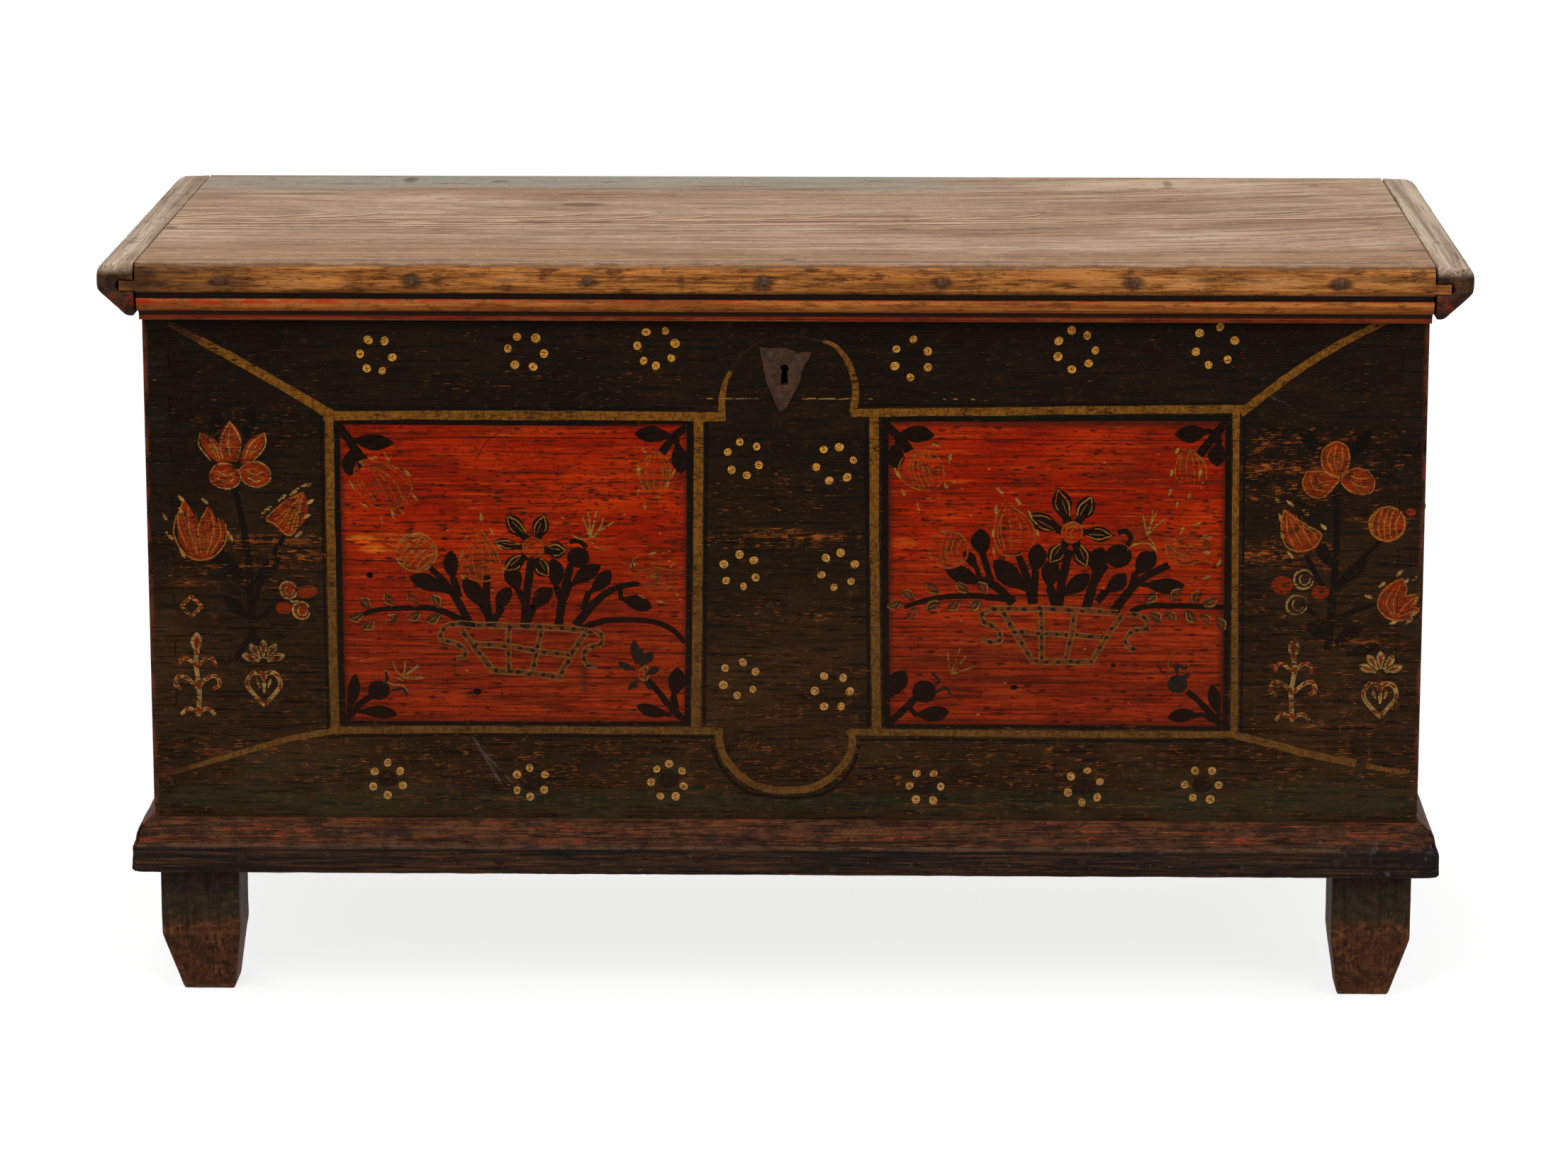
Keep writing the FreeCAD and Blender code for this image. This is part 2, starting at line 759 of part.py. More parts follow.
def lock_plate():
    """The plate that carries the lock, on the inside of the front."""
    top = rim - lock_plate_drop
    half = lock_plate_width / 2
    plate = box(-half, half, inner_front_y, plate_back_y, top - lock_plate_height, top)
    plate = softened(plate, lock_plate_corner, lambda e: abs(e.Vertexes[0].Y - e.Vertexes[-1].Y) > nail_fit)
    holes = [keyhole(inner_front_y - cut_over, plate_back_y + cut_over)]
    return cut_all(plate, holes + [short_nail_hole(*p) for p in lock_nails()])


def lock_cover():
    """The folded box over the lock's works, with a slot for the lid's staple."""
    top = rim - lock_cover_drop
    half = lock_cover_width / 2
    back = plate_back_y + lock_cover_depth
    wall = lock_cover_wall
    shell = box(-half, half, plate_back_y, back, top - lock_cover_height, top)
    room = box(wall - half, half - wall, plate_back_y - cut_over, back - wall,
               top - lock_cover_height + wall, top - wall)
    reach = staple_rod_radius + staple_slot_gap
    slot = box(staple_offset - reach, staple_offset + reach, plate_back_y - cut_over, back - wall,
               top - wall - cut_over, top + cut_over)
    key_end = rod(key_radius, V(0, plate_back_y, key_z), V(0, back + cut_over, key_z))
    return shell.cut([room, slot, key_end])


def lock_bolt():
    """The sliding bolt, drawn back, with the lug that the key's bit moves."""
    y0, y1 = bolt_y - bolt_width / 2, bolt_y + bolt_width / 2
    low, high = bolt_z - bolt_height / 2, bolt_z + bolt_height / 2
    bar = box(bolt_tip_x - bolt_length, bolt_tip_x, y0, y1, low, high)
    lug_foot = key_z + key_bit_reach
    lug = box(lug_x, lug_x + bolt_lug_width, y0, y1, lug_foot, low)
    notch_x = lug_x + (bolt_lug_width - bolt_notch_width) / 2
    notch = box(notch_x, notch_x + bolt_notch_width, y0 - cut_over, y1 + cut_over,
                lug_foot - cut_over, lug_foot + bolt_notch_depth)
    return bar.fuse(lug).cut(notch).removeSplitter()


def bolt_guides():
    """Three bridges on the lock plate: two that the bolt slides in, and its keeper past the staple."""
    gap, wall = bolt_clearance, guide_thickness
    y1 = bolt_y + bolt_width / 2 + gap
    low, high = bolt_z - bolt_height / 2 - gap, bolt_z + bolt_height / 2 + gap
    solids = []
    for x in (guide_end_x - far_guide_offset - guide_length, guide_end_x - guide_length, keeper_x):
        bridge = box(x, x + guide_length, plate_back_y, y1 + wall, low - wall, high + wall)
        solids.append(bridge.cut(box(x, x + guide_length, plate_back_y, y1, low, high)))
    return Part.makeCompound(solids)


def lock_spring():
    """The leaf spring that rests on the bolt, with the post that holds it."""
    top = bolt_z + bolt_height / 2 + bolt_clearance
    x0 = lock_cover_wall - lock_cover_width / 2 + bolt_clearance
    y0, y1 = bolt_y - bolt_width / 2, bolt_y + bolt_width / 2
    post_top = top + spring_rise
    post = box(x0, x0 + spring_post, plate_back_y, y1, top, post_top)
    x1 = x0 + spring_post + spring_reach
    middle = (x0 + spring_post + x1) / 2
    sag = top + spring_rise * spring_sag_share
    points = [
        (x0 + spring_post, post_top), (middle, sag + spring_thickness, x1, top + spring_thickness),
        (x1, top), (middle, sag, x0 + spring_post, post_top - spring_thickness),
    ]
    leaf = prism(points, lambda x, z: V(x, y0, z), V(0, bolt_width, 0))
    return post.fuse(leaf).removeSplitter()


def bent_rod(radius, points, bend):
    """A round rod along straight runs with rounded corners."""
    path = []
    here = points[0]
    for before, corner, after in zip(points, points[1:], points[2:]):
        into, out = (corner - before).normalize(), (after - corner).normalize()
        start, end = corner - into * bend, corner + out * bend
        centre = start + out * bend
        inner = centre + (corner - centre).normalize() * bend
        path += [Part.makeLine(here, start), Part.Arc(start, inner, end).toShape()]
        here = end
    path.append(Part.makeLine(here, points[-1]))
    first = (points[1] - points[0]).normalize()
    circle = Part.Wire([Part.makeCircle(radius, points[0], first)])
    return Part.Wire(path).makePipeShell([circle], True, True)


def lid_staple():
    """The plate and bent loop under the lid that the bolt passes through."""
    z0 = lid_under - staple_plate_thickness
    half = staple_plate_width / 2
    y0 = inner_front_y + staple_clearance
    plate = box(staple_offset - half, staple_offset + half, y0, y0 + staple_plate_depth, z0, lid_under)
    spread = staple_inner / 2 + staple_rod_radius
    low = rim - staple_drop
    x = staple_offset
    points = [
        V(x, bolt_y - spread, z0 + staple_plate_thickness / 2), V(x, bolt_y - spread, low),
        V(x, bolt_y + spread, low), V(x, bolt_y + spread, z0 + staple_plate_thickness / 2),
    ]
    loop = bent_rod(staple_rod_radius, points, staple_bend)
    return cut_all(plate.fuse(loop).removeSplitter(), [short_nail_hole(*p) for p in staple_nails()])


# Handles
def bail(side):
    """A drop handle, hanging, with stubs that turn in its two eyes."""
    x = side * (half_width + handle_offset)
    low = handle_height - bail_drop
    reach = bail_half_width + bail_stub
    points = [
        V(x, middle_y - reach, handle_height), V(x, middle_y - bail_half_width, handle_height),
        V(x, middle_y - bail_half_width, low), V(x, middle_y + bail_half_width, low),
        V(x, middle_y + bail_half_width, handle_height), V(x, middle_y + reach, handle_height),
    ]
    hoop = bent_rod(bail_radius, points, bail_bend)
    run = bail_half_width - 2 * bail_bend
    extras = []
    for way in (-1, 1):
        extras.append(Part.makeCone(bail_grip_radius, bail_radius, run, V(x, middle_y, low), V(0, way, 0)))
        extras.append(Part.makeSphere(bail_knob_radius, V(x, middle_y + way * reach, handle_height)))
    return hoop.fuse(extras).removeSplitter()


def handle_eyes(side):
    """Two ringed spikes driven through the end of the case and headed over inside."""
    ring_radius = bail_radius + eye_clearance + eye_wire_radius
    solids = []
    for eye in handle_eye_places(side):
        ring = Part.makeTorus(ring_radius, eye_wire_radius, eye, V(0, 1, 0))
        start = V(eye.x - side * ring_radius, eye.y, eye.z)
        inside = V(side * (half_width - side_wall), eye.y, eye.z)
        shank = rod(eye_wire_radius, start, inside - V(side * eye_rivet_height, 0, 0))
        rivet = rod(eye_rivet_radius, inside, inside - V(side * eye_rivet_height, 0, 0))
        solids.append(ring.fuse([shank, rivet]).removeSplitter())
    return Part.makeCompound(solids)


def handle_rosettes(side):
    """The round iron plates under the handle's eyes."""
    solids = []
    for eye in handle_eye_places(side):
        start = V(side * half_width, eye.y, eye.z)
        through = V(side * rosette_thickness, 0, 0)
        plate = rod(rosette_radius, start, start + through)
        hole = rod(eye_wire_radius + nail_fit, start - through, start + 2 * through)
        solids.append(plate.cut(hole))
    return Part.makeCompound(solids)


# Till
def till():
    """The open till at the left end: its front board and its floor."""
    top, bottom, x = till_levels()
    y0, y1 = inner_front_y - till_groove, inner_back_y + till_groove
    upright = box(x, x + till_front_thickness, y0, y1, bottom, top)
    inner = side_wall - half_width
    floor = box(inner - till_groove, x, y0, y1, bottom, bottom + till_bottom_thickness)
    return {"till_front": upright, "till_floor": floor}


def nail_groups():
    """Every node that holds nails of one kind."""
    return {
        "lid_moulding_nails": [nail(*p) for p in moulding_nails()],
        "lid_cleat_nails": [nail(*p) for p in cleat_nails()],
        "plinth_nails": [nail(*p) for p in plinth_nails()],
        "bottom_nails": [nail(*p) for p in bottom_nails()],
        "hinge_lid_nails": [short_nail(*p) for x in hinge_places.values() for p in lid_strap_nails(x)],
        "hinge_back_nails": [short_nail(*p) for x in hinge_places.values() for p in back_strap_nails(x)],
        "escutcheon_nails": [short_nail(*p) for p in escutcheon_nails()],
        "lock_nails": [short_nail(*p) for p in lock_nails()],
        "lid_staple_nails": [short_nail(*p) for p in staple_nails()],
    }


def whole_chest():
    """Every node's shape by name."""
    nodes = {**case_boards(), **bottom_boards(), **plinth(), **lid_planks(), **lid_cleats(), **till()}
    nodes["lid_front_moulding"] = lid_moulding()
    for name, signs in foot_places().items():
        nodes[name] = foot(*signs)
    nodes["foot_wedges"] = Part.makeCompound([foot_wedge(*signs) for signs in foot_places().values()])
    for name, x in hinge_places.items():
        nodes["hinge_lid_strap_" + name] = lid_strap(x)
        nodes["hinge_back_strap_" + name] = back_strap(x)
        nodes["hinge_pin_" + name] = hinge_pin(x)
    nodes["escutcheon"] = escutcheon()
    nodes["lock_plate"] = lock_plate()
    nodes["lock_cover"] = lock_cover()
    nodes["lock_bolt"] = lock_bolt()
    nodes["bolt_guides"] = bolt_guides()
    nodes["lock_spring"] = lock_spring()
    nodes["lid_staple"] = lid_staple()
    for name, side in (("left", -1), ("right", 1)):
        nodes[name + "_handle_bail"] = bail(side)
        nodes[name + "_handle_eyes"] = handle_eyes(side)
        nodes[name + "_handle_rosettes"] = handle_rosettes(side)
    for name, solids in nail_groups().items():
        nodes[name] = Part.makeCompound(solids)
    return nodes


def main():
    """Write one STEP file per node."""
    os.makedirs("parts", exist_ok=True)
    for name, shape in whole_chest().items():
        shape.exportStep(os.path.join("parts", name + ".step"))


main()
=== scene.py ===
import math
import random

import bmesh
import bpy
from mathutils import Matrix, Vector, noise


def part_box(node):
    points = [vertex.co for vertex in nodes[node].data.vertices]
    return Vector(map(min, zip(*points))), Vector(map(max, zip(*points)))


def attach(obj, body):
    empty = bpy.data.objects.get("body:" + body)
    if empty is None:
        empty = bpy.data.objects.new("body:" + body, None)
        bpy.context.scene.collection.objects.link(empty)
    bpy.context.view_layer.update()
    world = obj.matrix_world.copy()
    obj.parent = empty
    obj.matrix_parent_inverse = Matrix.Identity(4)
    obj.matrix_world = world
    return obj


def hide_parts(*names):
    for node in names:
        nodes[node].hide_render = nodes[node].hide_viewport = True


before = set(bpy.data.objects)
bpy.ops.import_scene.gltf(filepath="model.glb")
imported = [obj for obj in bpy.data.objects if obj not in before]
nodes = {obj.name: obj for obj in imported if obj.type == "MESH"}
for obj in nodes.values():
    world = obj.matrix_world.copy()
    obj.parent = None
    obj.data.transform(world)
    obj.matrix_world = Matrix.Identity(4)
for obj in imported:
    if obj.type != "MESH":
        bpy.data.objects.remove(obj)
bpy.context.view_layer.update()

# The hand's waver is the same each run
noise.seed_set(11)
mm = 0.001

# Camera, in metres, radians and millimetres of lens
camera_place = (0.0974, -5.2439, 1.4974)
camera_yaw = -0.0196
camera_pitch = 0.2161
camera_lens = 124.55
sensor_width = 36.0

# Places on the case that the finishes follow, in metres
front_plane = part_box("front_upper_board")[0][1]
back_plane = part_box("back_upper_board")[1][1]
grip_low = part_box("right_handle_bail")[0][2] - 0.03
board_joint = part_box("front_upper_board")[0][2]
case_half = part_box("front_upper_board")[1][0]
lid_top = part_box("lid_front_moulding")[1][2]
case_middle_y = (front_plane + back_plane) / 2
joint_soft = 0.0004


def rgb(red, green, blue):
    """A display colour, 0 to 255, as the linear colour that a shader takes."""
    def linear(value):
        share = value / 255
        return share / 12.92 if share <= 0.04045 else ((share + 0.055) / 1.055) ** 2.4
    return (linear(red), linear(green), linear(blue), 1.0)


def placed(name, data):
    """A new object with its data, linked to the scene."""
    made = bpy.data.objects.new(name, data)
    bpy.context.scene.collection.objects.link(made)
    return made


class Shades:
    """A node tree with short calls that each add a node and return its output."""

    def __init__(self, tree):
        self.tree = tree

    def node(self, kind, **settings):
        made = self.tree.nodes.new(kind)
        for key, value in settings.items():
            setattr(made, key, value)
        return made

    def put(self, socket, value):
        """Links an output to the socket or sets its value; three numbers are a display colour."""
        if isinstance(value, bpy.types.NodeSocket):
            self.tree.links.new(value, socket)
        elif isinstance(value, tuple):
            socket.default_value = rgb(*value)
        elif value is not None:
            socket.default_value = value

    def math(self, operation, a, b=None, c=None, clamp=False):
        made = self.node("ShaderNodeMath", operation=operation, use_clamp=clamp)
        for socket, value in zip(made.inputs, (a, b, c)):
            self.put(socket, value)
        return made.outputs[0]

    def mix(self, factor, a, b, blend="MIX"):
        made = self.node("ShaderNodeMix", data_type="RGBA", blend_type=blend)
        self.put(made.inputs[0], factor)
        self.put(made.inputs[6], a)
        self.put(made.inputs[7], b)
        return made.outputs[2]

    def blend(self, factor, a, b):
        made = self.node("ShaderNodeMix", data_type="FLOAT")
        self.put(made.inputs[0], factor)
        self.put(made.inputs[2], a)
        self.put(made.inputs[3], b)
        return made.outputs[0]

    def point(self):
        return self.node("ShaderNodeTexCoord").outputs["Object"]

    def split(self, vector):
        made = self.node("ShaderNodeSeparateXYZ")
        self.put(made.inputs[0], vector)
        return made.outputs[0], made.outputs[1], made.outputs[2]

    def join(self, x, y, z):
        made = self.node("ShaderNodeCombineXYZ")
        for socket, value in zip(made.inputs, (x, y, z)):
            self.put(socket, value)
        return made.outputs[0]

    def scaled(self, vector, sizes, shift=(0, 0, 0)):
        made = self.node("ShaderNodeVectorMath", operation="MULTIPLY_ADD")
        self.put(made.inputs[0], vector)
        made.inputs[1].default_value = sizes
        made.inputs[2].default_value = shift
        return made.outputs[0]

    def noise(self, vector, sizes, detail=3.0, rough=0.55, warp=0.0, shift=(0, 0, 0)):
        made = self.node("ShaderNodeTexNoise")
        self.put(made.inputs["Vector"], self.scaled(vector, sizes, shift))
        made.inputs["Scale"].default_value = 1.0
        made.inputs["Detail"].default_value = detail
        made.inputs["Roughness"].default_value = rough
        made.inputs["Distortion"].default_value = warp
        return made.outputs["Fac"]

    def spots(self, vector, sizes, size, share):
        """Scattered spots: one where a cell's centre is near and the cell is one of the chosen share."""
        made = self.node("ShaderNodeTexVoronoi")
        self.put(made.inputs["Vector"], self.scaled(vector, sizes))
        made.inputs["Scale"].default_value = 1.0
        chosen = self.step(self.split(made.outputs["Color"])[0], 1 - share, 1 - share + 0.01)
        near = self.step(made.outputs["Distance"], size, size * 0.45)
        return self.math("MULTIPLY", chosen, near)

    def step(self, value, low, high):
        """0 at low and 1 at high, smooth between them; low may be the greater."""
        made = self.node("ShaderNodeMapRange", interpolation_type="SMOOTHSTEP")
        self.put(made.inputs["Value"], value)
        made.inputs["From Min"].default_value = low
        made.inputs["From Max"].default_value = high
        return made.outputs["Result"]

    def times(self, *values):
        result = values[0]
        for value in values[1:]:
            result = self.math("MULTIPLY", result, value)
        return result

    def most(self, *values):
        result = values[0]
        for value in values[1:]:
            result = self.math("MAXIMUM", result, value)
        return result

    def plus(self, a, b):
        return self.math("ADD", a, b)

    def minus(self, a, b):
        return self.math("SUBTRACT", a, b)

    def size(self, value):
        return self.math("ABSOLUTE", value)

    def scale(self, value, gain, shift):
        return self.math("MULTIPLY_ADD", value, gain, shift)

    def within(self, value, low, high, soft):
        """1 between low and high, falling off over soft on both sides."""
        return self.times(self.step(value, low - soft, low + soft), self.step(value, high + soft, high - soft))

    def tint(self, colour, tone, *masks):
        """Lays a tone over the colour, as strong as the masks multiplied."""
        return self.mix(self.times(*masks), colour, tone)

    def coat(self, colour, tone, value, low, high, strength):
        """Lays a tone over the colour where the value runs from low to high."""
        return self.tint(colour, tone, self.step(value, low, high), strength)

    def ripple(self, value, pitch, drift, reach):
        """Fine lines one pitch apart that wander with the drift, -1 to 1."""
        turns = self.scale(value, 2 * math.pi / pitch, self.times(drift, reach))
        return self.math("SINE", turns)

    def blot(self, x, y, place, edge):
        """A ragged oval mark in millimetres: x, y, half width, half height, strength."""
        cx, cy, rx, ry, strength = place
        far = self.plus(self.math("POWER", self.scale(x, 1000 / rx, -cx / rx), 2.0),
                        self.math("POWER", self.scale(y, 1000 / ry, -cy / ry), 2.0))
        return self.times(self.step(self.plus(far, self.times(edge, 2.4)), 2.4, 1.3), strength)

    def region(self, x, z, place):
        """A soft rectangle in millimetres with its strength: x0, x1, z0, z1, soft, strength."""
        x0, x1, z0, z1, soft, strength = place
        across = self.within(x, x0 * mm, x1 * mm, soft * mm)
        up = self.within(z, z0 * mm, z1 * mm, soft * mm * 0.5)
        return self.times(across, up, strength)


def material(name, paint, metallic=0.0, specular=0.25, bump=0.3, depth=0.0006):
    """A material whose colour, roughness and height come from paint(shades, point)."""
    made = bpy.data.materials.new(name)
    made.use_nodes = True
    made.node_tree.nodes.clear()
    s = Shades(made.node_tree)
    colour, roughness, height = paint(s, s.point())
    shader = s.node("ShaderNodeBsdfPrincipled")
    s.put(shader.inputs["Base Color"], colour)
    s.put(shader.inputs["Roughness"], roughness)
    shader.inputs["Metallic"].default_value = metallic
    shader.inputs["Specular IOR Level"].default_value = specular
    relief = s.node("ShaderNodeBump")
    relief.inputs["Strength"].default_value = bump
    relief.inputs["Distance"].default_value = depth
    s.put(relief.inputs["Height"], height)
    s.put(shader.inputs["Normal"], relief.outputs["Normal"])
    out = s.node("ShaderNodeOutputMaterial")
    s.put(out.inputs["Surface"], shader.outputs[0])
    return made


def shared(name, paint):
    """The same colour, roughness and height as a group that several materials use."""
    tree = bpy.data.node_groups.new(name, "ShaderNodeTree")
    tree.interface.new_socket("Point", in_out="INPUT", socket_type="NodeSocketVector")
    tree.interface.new_socket("Colour", in_out="OUTPUT", socket_type="NodeSocketColor")
    for label in ("Roughness", "Height", "Grain"):
        tree.interface.new_socket(label, in_out="OUTPUT", socket_type="NodeSocketFloat")
    s = Shades(tree)
    results = paint(s, s.node("NodeGroupInput").outputs[0])
    out = s.node("NodeGroupOutput")
    for socket, value in zip(out.inputs, results):
        s.put(socket, value)

    def use(shades, point):
        made = shades.node("ShaderNodeGroup")
        made.node_tree = tree
        shades.put(made.inputs[0], point)
        return [made.outputs[i] for i in range(4)]
    return use


# The front's dark ground: where it is worn through to the wood, x0, x1, z0, z1, soft, strength
worn_places = [
    (-75, 75, 440, 456, 12, 1.0), (-75, 75, 270, 300, 30, 0.55), (-75, 75, 470, 515, 12, 0.4),
    (430, 590, 480, 560, 26, 0.6), (428, 496, 486, 552, 12, 0.95), (430, 520, 424, 452, 10, 0.95),
    (-590, -430, 400, 452, 22, 0.5), (-560, -430, 535, 575, 12, 0.4), (-600, 600, 182, 205, 8, 0.5),
    (-600, 600, 205, 256, 14, 0.62), (430, 590, 340, 400, 20, 0.4), (-70, 70, 365, 392, 10, 0.55),
    (-330, -90, 585, 610, 12, 0.3), (-600, 600, 256, 340, 40, 0.34), (430, 600, 256, 330, 24, 0.5),
]
# Long rows where bare wood shows: x, z, half width, half height, strength
bare_streaks = [
    (-500, 446, 90, 7, 0.8), (-458, 432, 30, 9, 0.95), (-510, 420, 70, 4, 0.7), (-470, 398, 60, 4, 0.6),
    (-560, 405, 30, 5, 0.5), (470, 520, 60, 8, 0.6), (500, 545, 80, 4, 0.5), (560, 470, 40, 5, 0.5),
    (452, 436, 26, 9, 0.9), (480, 424, 60, 4, 0.6), (540, 352, 60, 5, 0.5), (8, 452, 62, 5, 0.8),
    (-14, 458, 40, 3, 0.6), (-300, 196, 160, 3, 0.5), (240, 192, 220, 3, 0.5), (-520, 240, 60, 4, 0.5),
    (530, 270, 60, 5, 0.5),
]
# Greyish rubbed smears near the bottom: x at the top, z at the top, run to the right, drop, half width
smear_places = [(-296, 258, 26, 46, 2.6), (-284, 240, 24, 27, 1.8), (452, 588, 20, 10, 1.6)]


# Greenish band near the foot of the front and the shade under the lid, from and to in height, in metres
green_band = (0.186, 0.203)
lid_shade = (0.646, 0.661)


def ground_paint(s, p):
    """Brown-black ground, browner towards its foot, rubbed through to the wood in rows along the grain."""
    x, y, z = s.split(p)
    u = s.plus(x, y)
    upper = s.step(z, board_joint - joint_soft, board_joint + joint_soft)
    q = s.join(s.scale(upper, 1.7, u), 0.0, z)
    ridges = s.noise(q, (20, 1, 300), 4, 0.65, 0.2)
    cloud = s.noise(q, (5, 1, 13), 3, 0.6)
    blotch = s.noise(q, (60, 1, 95), 5, 0.72)
    dash = s.noise(q, (105, 1, 640), 3, 0.6)
    lines = s.ripple(z, 0.0024, cloud, 9)
    low = s.step(z, 0.56, 0.27)
    dark = s.mix(low, (20, 12, 6), (37, 24, 12))
    dark = s.tint(dark, s.mix(low, (32, 20, 9), (54, 35, 18)), s.step(cloud, 0.42, 0.66))
    dark = s.tint(dark, s.mix(low, (44, 26, 11), (70, 44, 21)), s.step(lines, 0.2, 1.0), 0.3)
    dark = s.coat(dark, (11, 8, 5), ridges, 0.54, 0.36, 0.8)
    dark = s.tint(dark, s.mix(low, (48, 29, 12), (76, 46, 22)), s.step(blotch, 0.54, 0.68), 0.6)
    areas = [s.region(x, z, place) for place in worn_places]
    area = s.most(0.05, s.times(s.step(cloud, 0.56, 0.74), 0.4), *areas)
    rows = s.scale(lines, 0.03, s.times(area, s.step(blotch, 0.38, 0.62), 0.2))
    worn = s.step(s.plus(dash, rows), 0.635, 0.73)
    wood = s.mix(s.step(s.noise(q, (34, 1, 120), 3, 0.6), 0.35, 0.65), (74, 34, 11), (140, 72, 26))
    colour = s.mix(s.times(worn, 0.85), dark, wood)
    bare = s.most(*[s.blot(x, z, place, ridges) for place in bare_streaks])
    bare = s.times(bare, s.step(s.plus(s.times(ridges, 0.6), s.times(dash, 0.55)), 0.56, 0.66), 0.85)
    colour = s.tint(colour, s.mix(s.step(blotch, 0.4, 0.6), (118, 50, 14), (176, 92, 34)), bare)
    green = s.times(s.within(z, *green_band, 0.006), s.step(blotch, 0.35, 0.6), 0.6)
    green = s.most(green, s.times(s.step(z, 0.26, 0.22), s.step(cloud, 0.5, 0.62), 0.35))
    colour = s.tint(colour, (36, 42, 27), green)
    pits = s.step(s.noise(q, (85, 1, 330), 3, 0.6), 0.36, 0.29)
    colour = s.tint(colour, (9, 6, 4), pits, 0.8)
    scuff = s.times(s.step(s.noise(q, (80, 1, 130), 6, 0.75), 0.62, 0.7), 0.28)
    colour = s.tint(colour, (92, 74, 56), scuff)
    for top_x, top_z, run, fall, half in smear_places:
        share = s.scale(z, -1000 / fall, top_z / fall)
        line = s.scale(share, -run * mm, s.minus(x, top_x * mm))
        inside = s.times(s.within(share, 0.0, 1.0, 0.12),
                         s.step(s.size(line), half * mm, half * 0.3 * mm))
        colour = s.tint(colour, (88, 80, 70), inside, s.step(blotch, 0.34, 0.56), 0.5)
    corner = s.times(s.step(s.size(x), case_half - 0.006, case_half - 0.001),
                     s.step(y, front_plane + 0.005, front_plane + 0.001))
    corner = s.times(corner, s.step(s.noise(p, (90, 90, 30), 4, 0.7), 0.4, 0.62))
    colour = s.tint(colour, (110, 56, 40), corner, 0.7)
    under_lid = s.times(s.step(z, *lid_shade), 0.7)
    colour = s.tint(colour, (12, 8, 5), under_lid)
    rough = s.blend(worn, s.blend(blotch, 0.46, 0.6), 0.8)
    height = s.minus(s.times(ridges, 0.8), s.times(worn, 0.35))
    return colour, rough, height, s.plus(s.times(dash, 0.6), s.times(blotch, 0.4))


ground = shared("ground", ground_paint)


# The red fields: patches where a yellow undercoat shows through, and dulled patches
yellow_places = [(-398, 448, 17, 5, 1.0), (-386, 438, 15, 5, 0.8), (-374, 444, 24, 12, 0.3), (112, 446, 16, 6, 0.3)]
field_edges = (-418, -90.5, 97, 414)
field_low, field_high = 0.2695, 0.561
edge_soft = 0.0085
dull_places = [
    (-340, -190, 300, 362, 30, 0.45), (100, 300, 300, 362, 30, 0.5), (305, 345, 440, 490, 9, 0.75),
    (-193, -185, 300, 330, 4, 1.5), (-420, -406, 300, 420, 8, 0.35), (-150, -92, 330, 420, 20, 0.4),
    (-420, -380, 265, 330, 30, 0.45), (-130, -90, 265, 330, 30, 0.35), (380, 416, 265, 330, 30, 0.4),
]


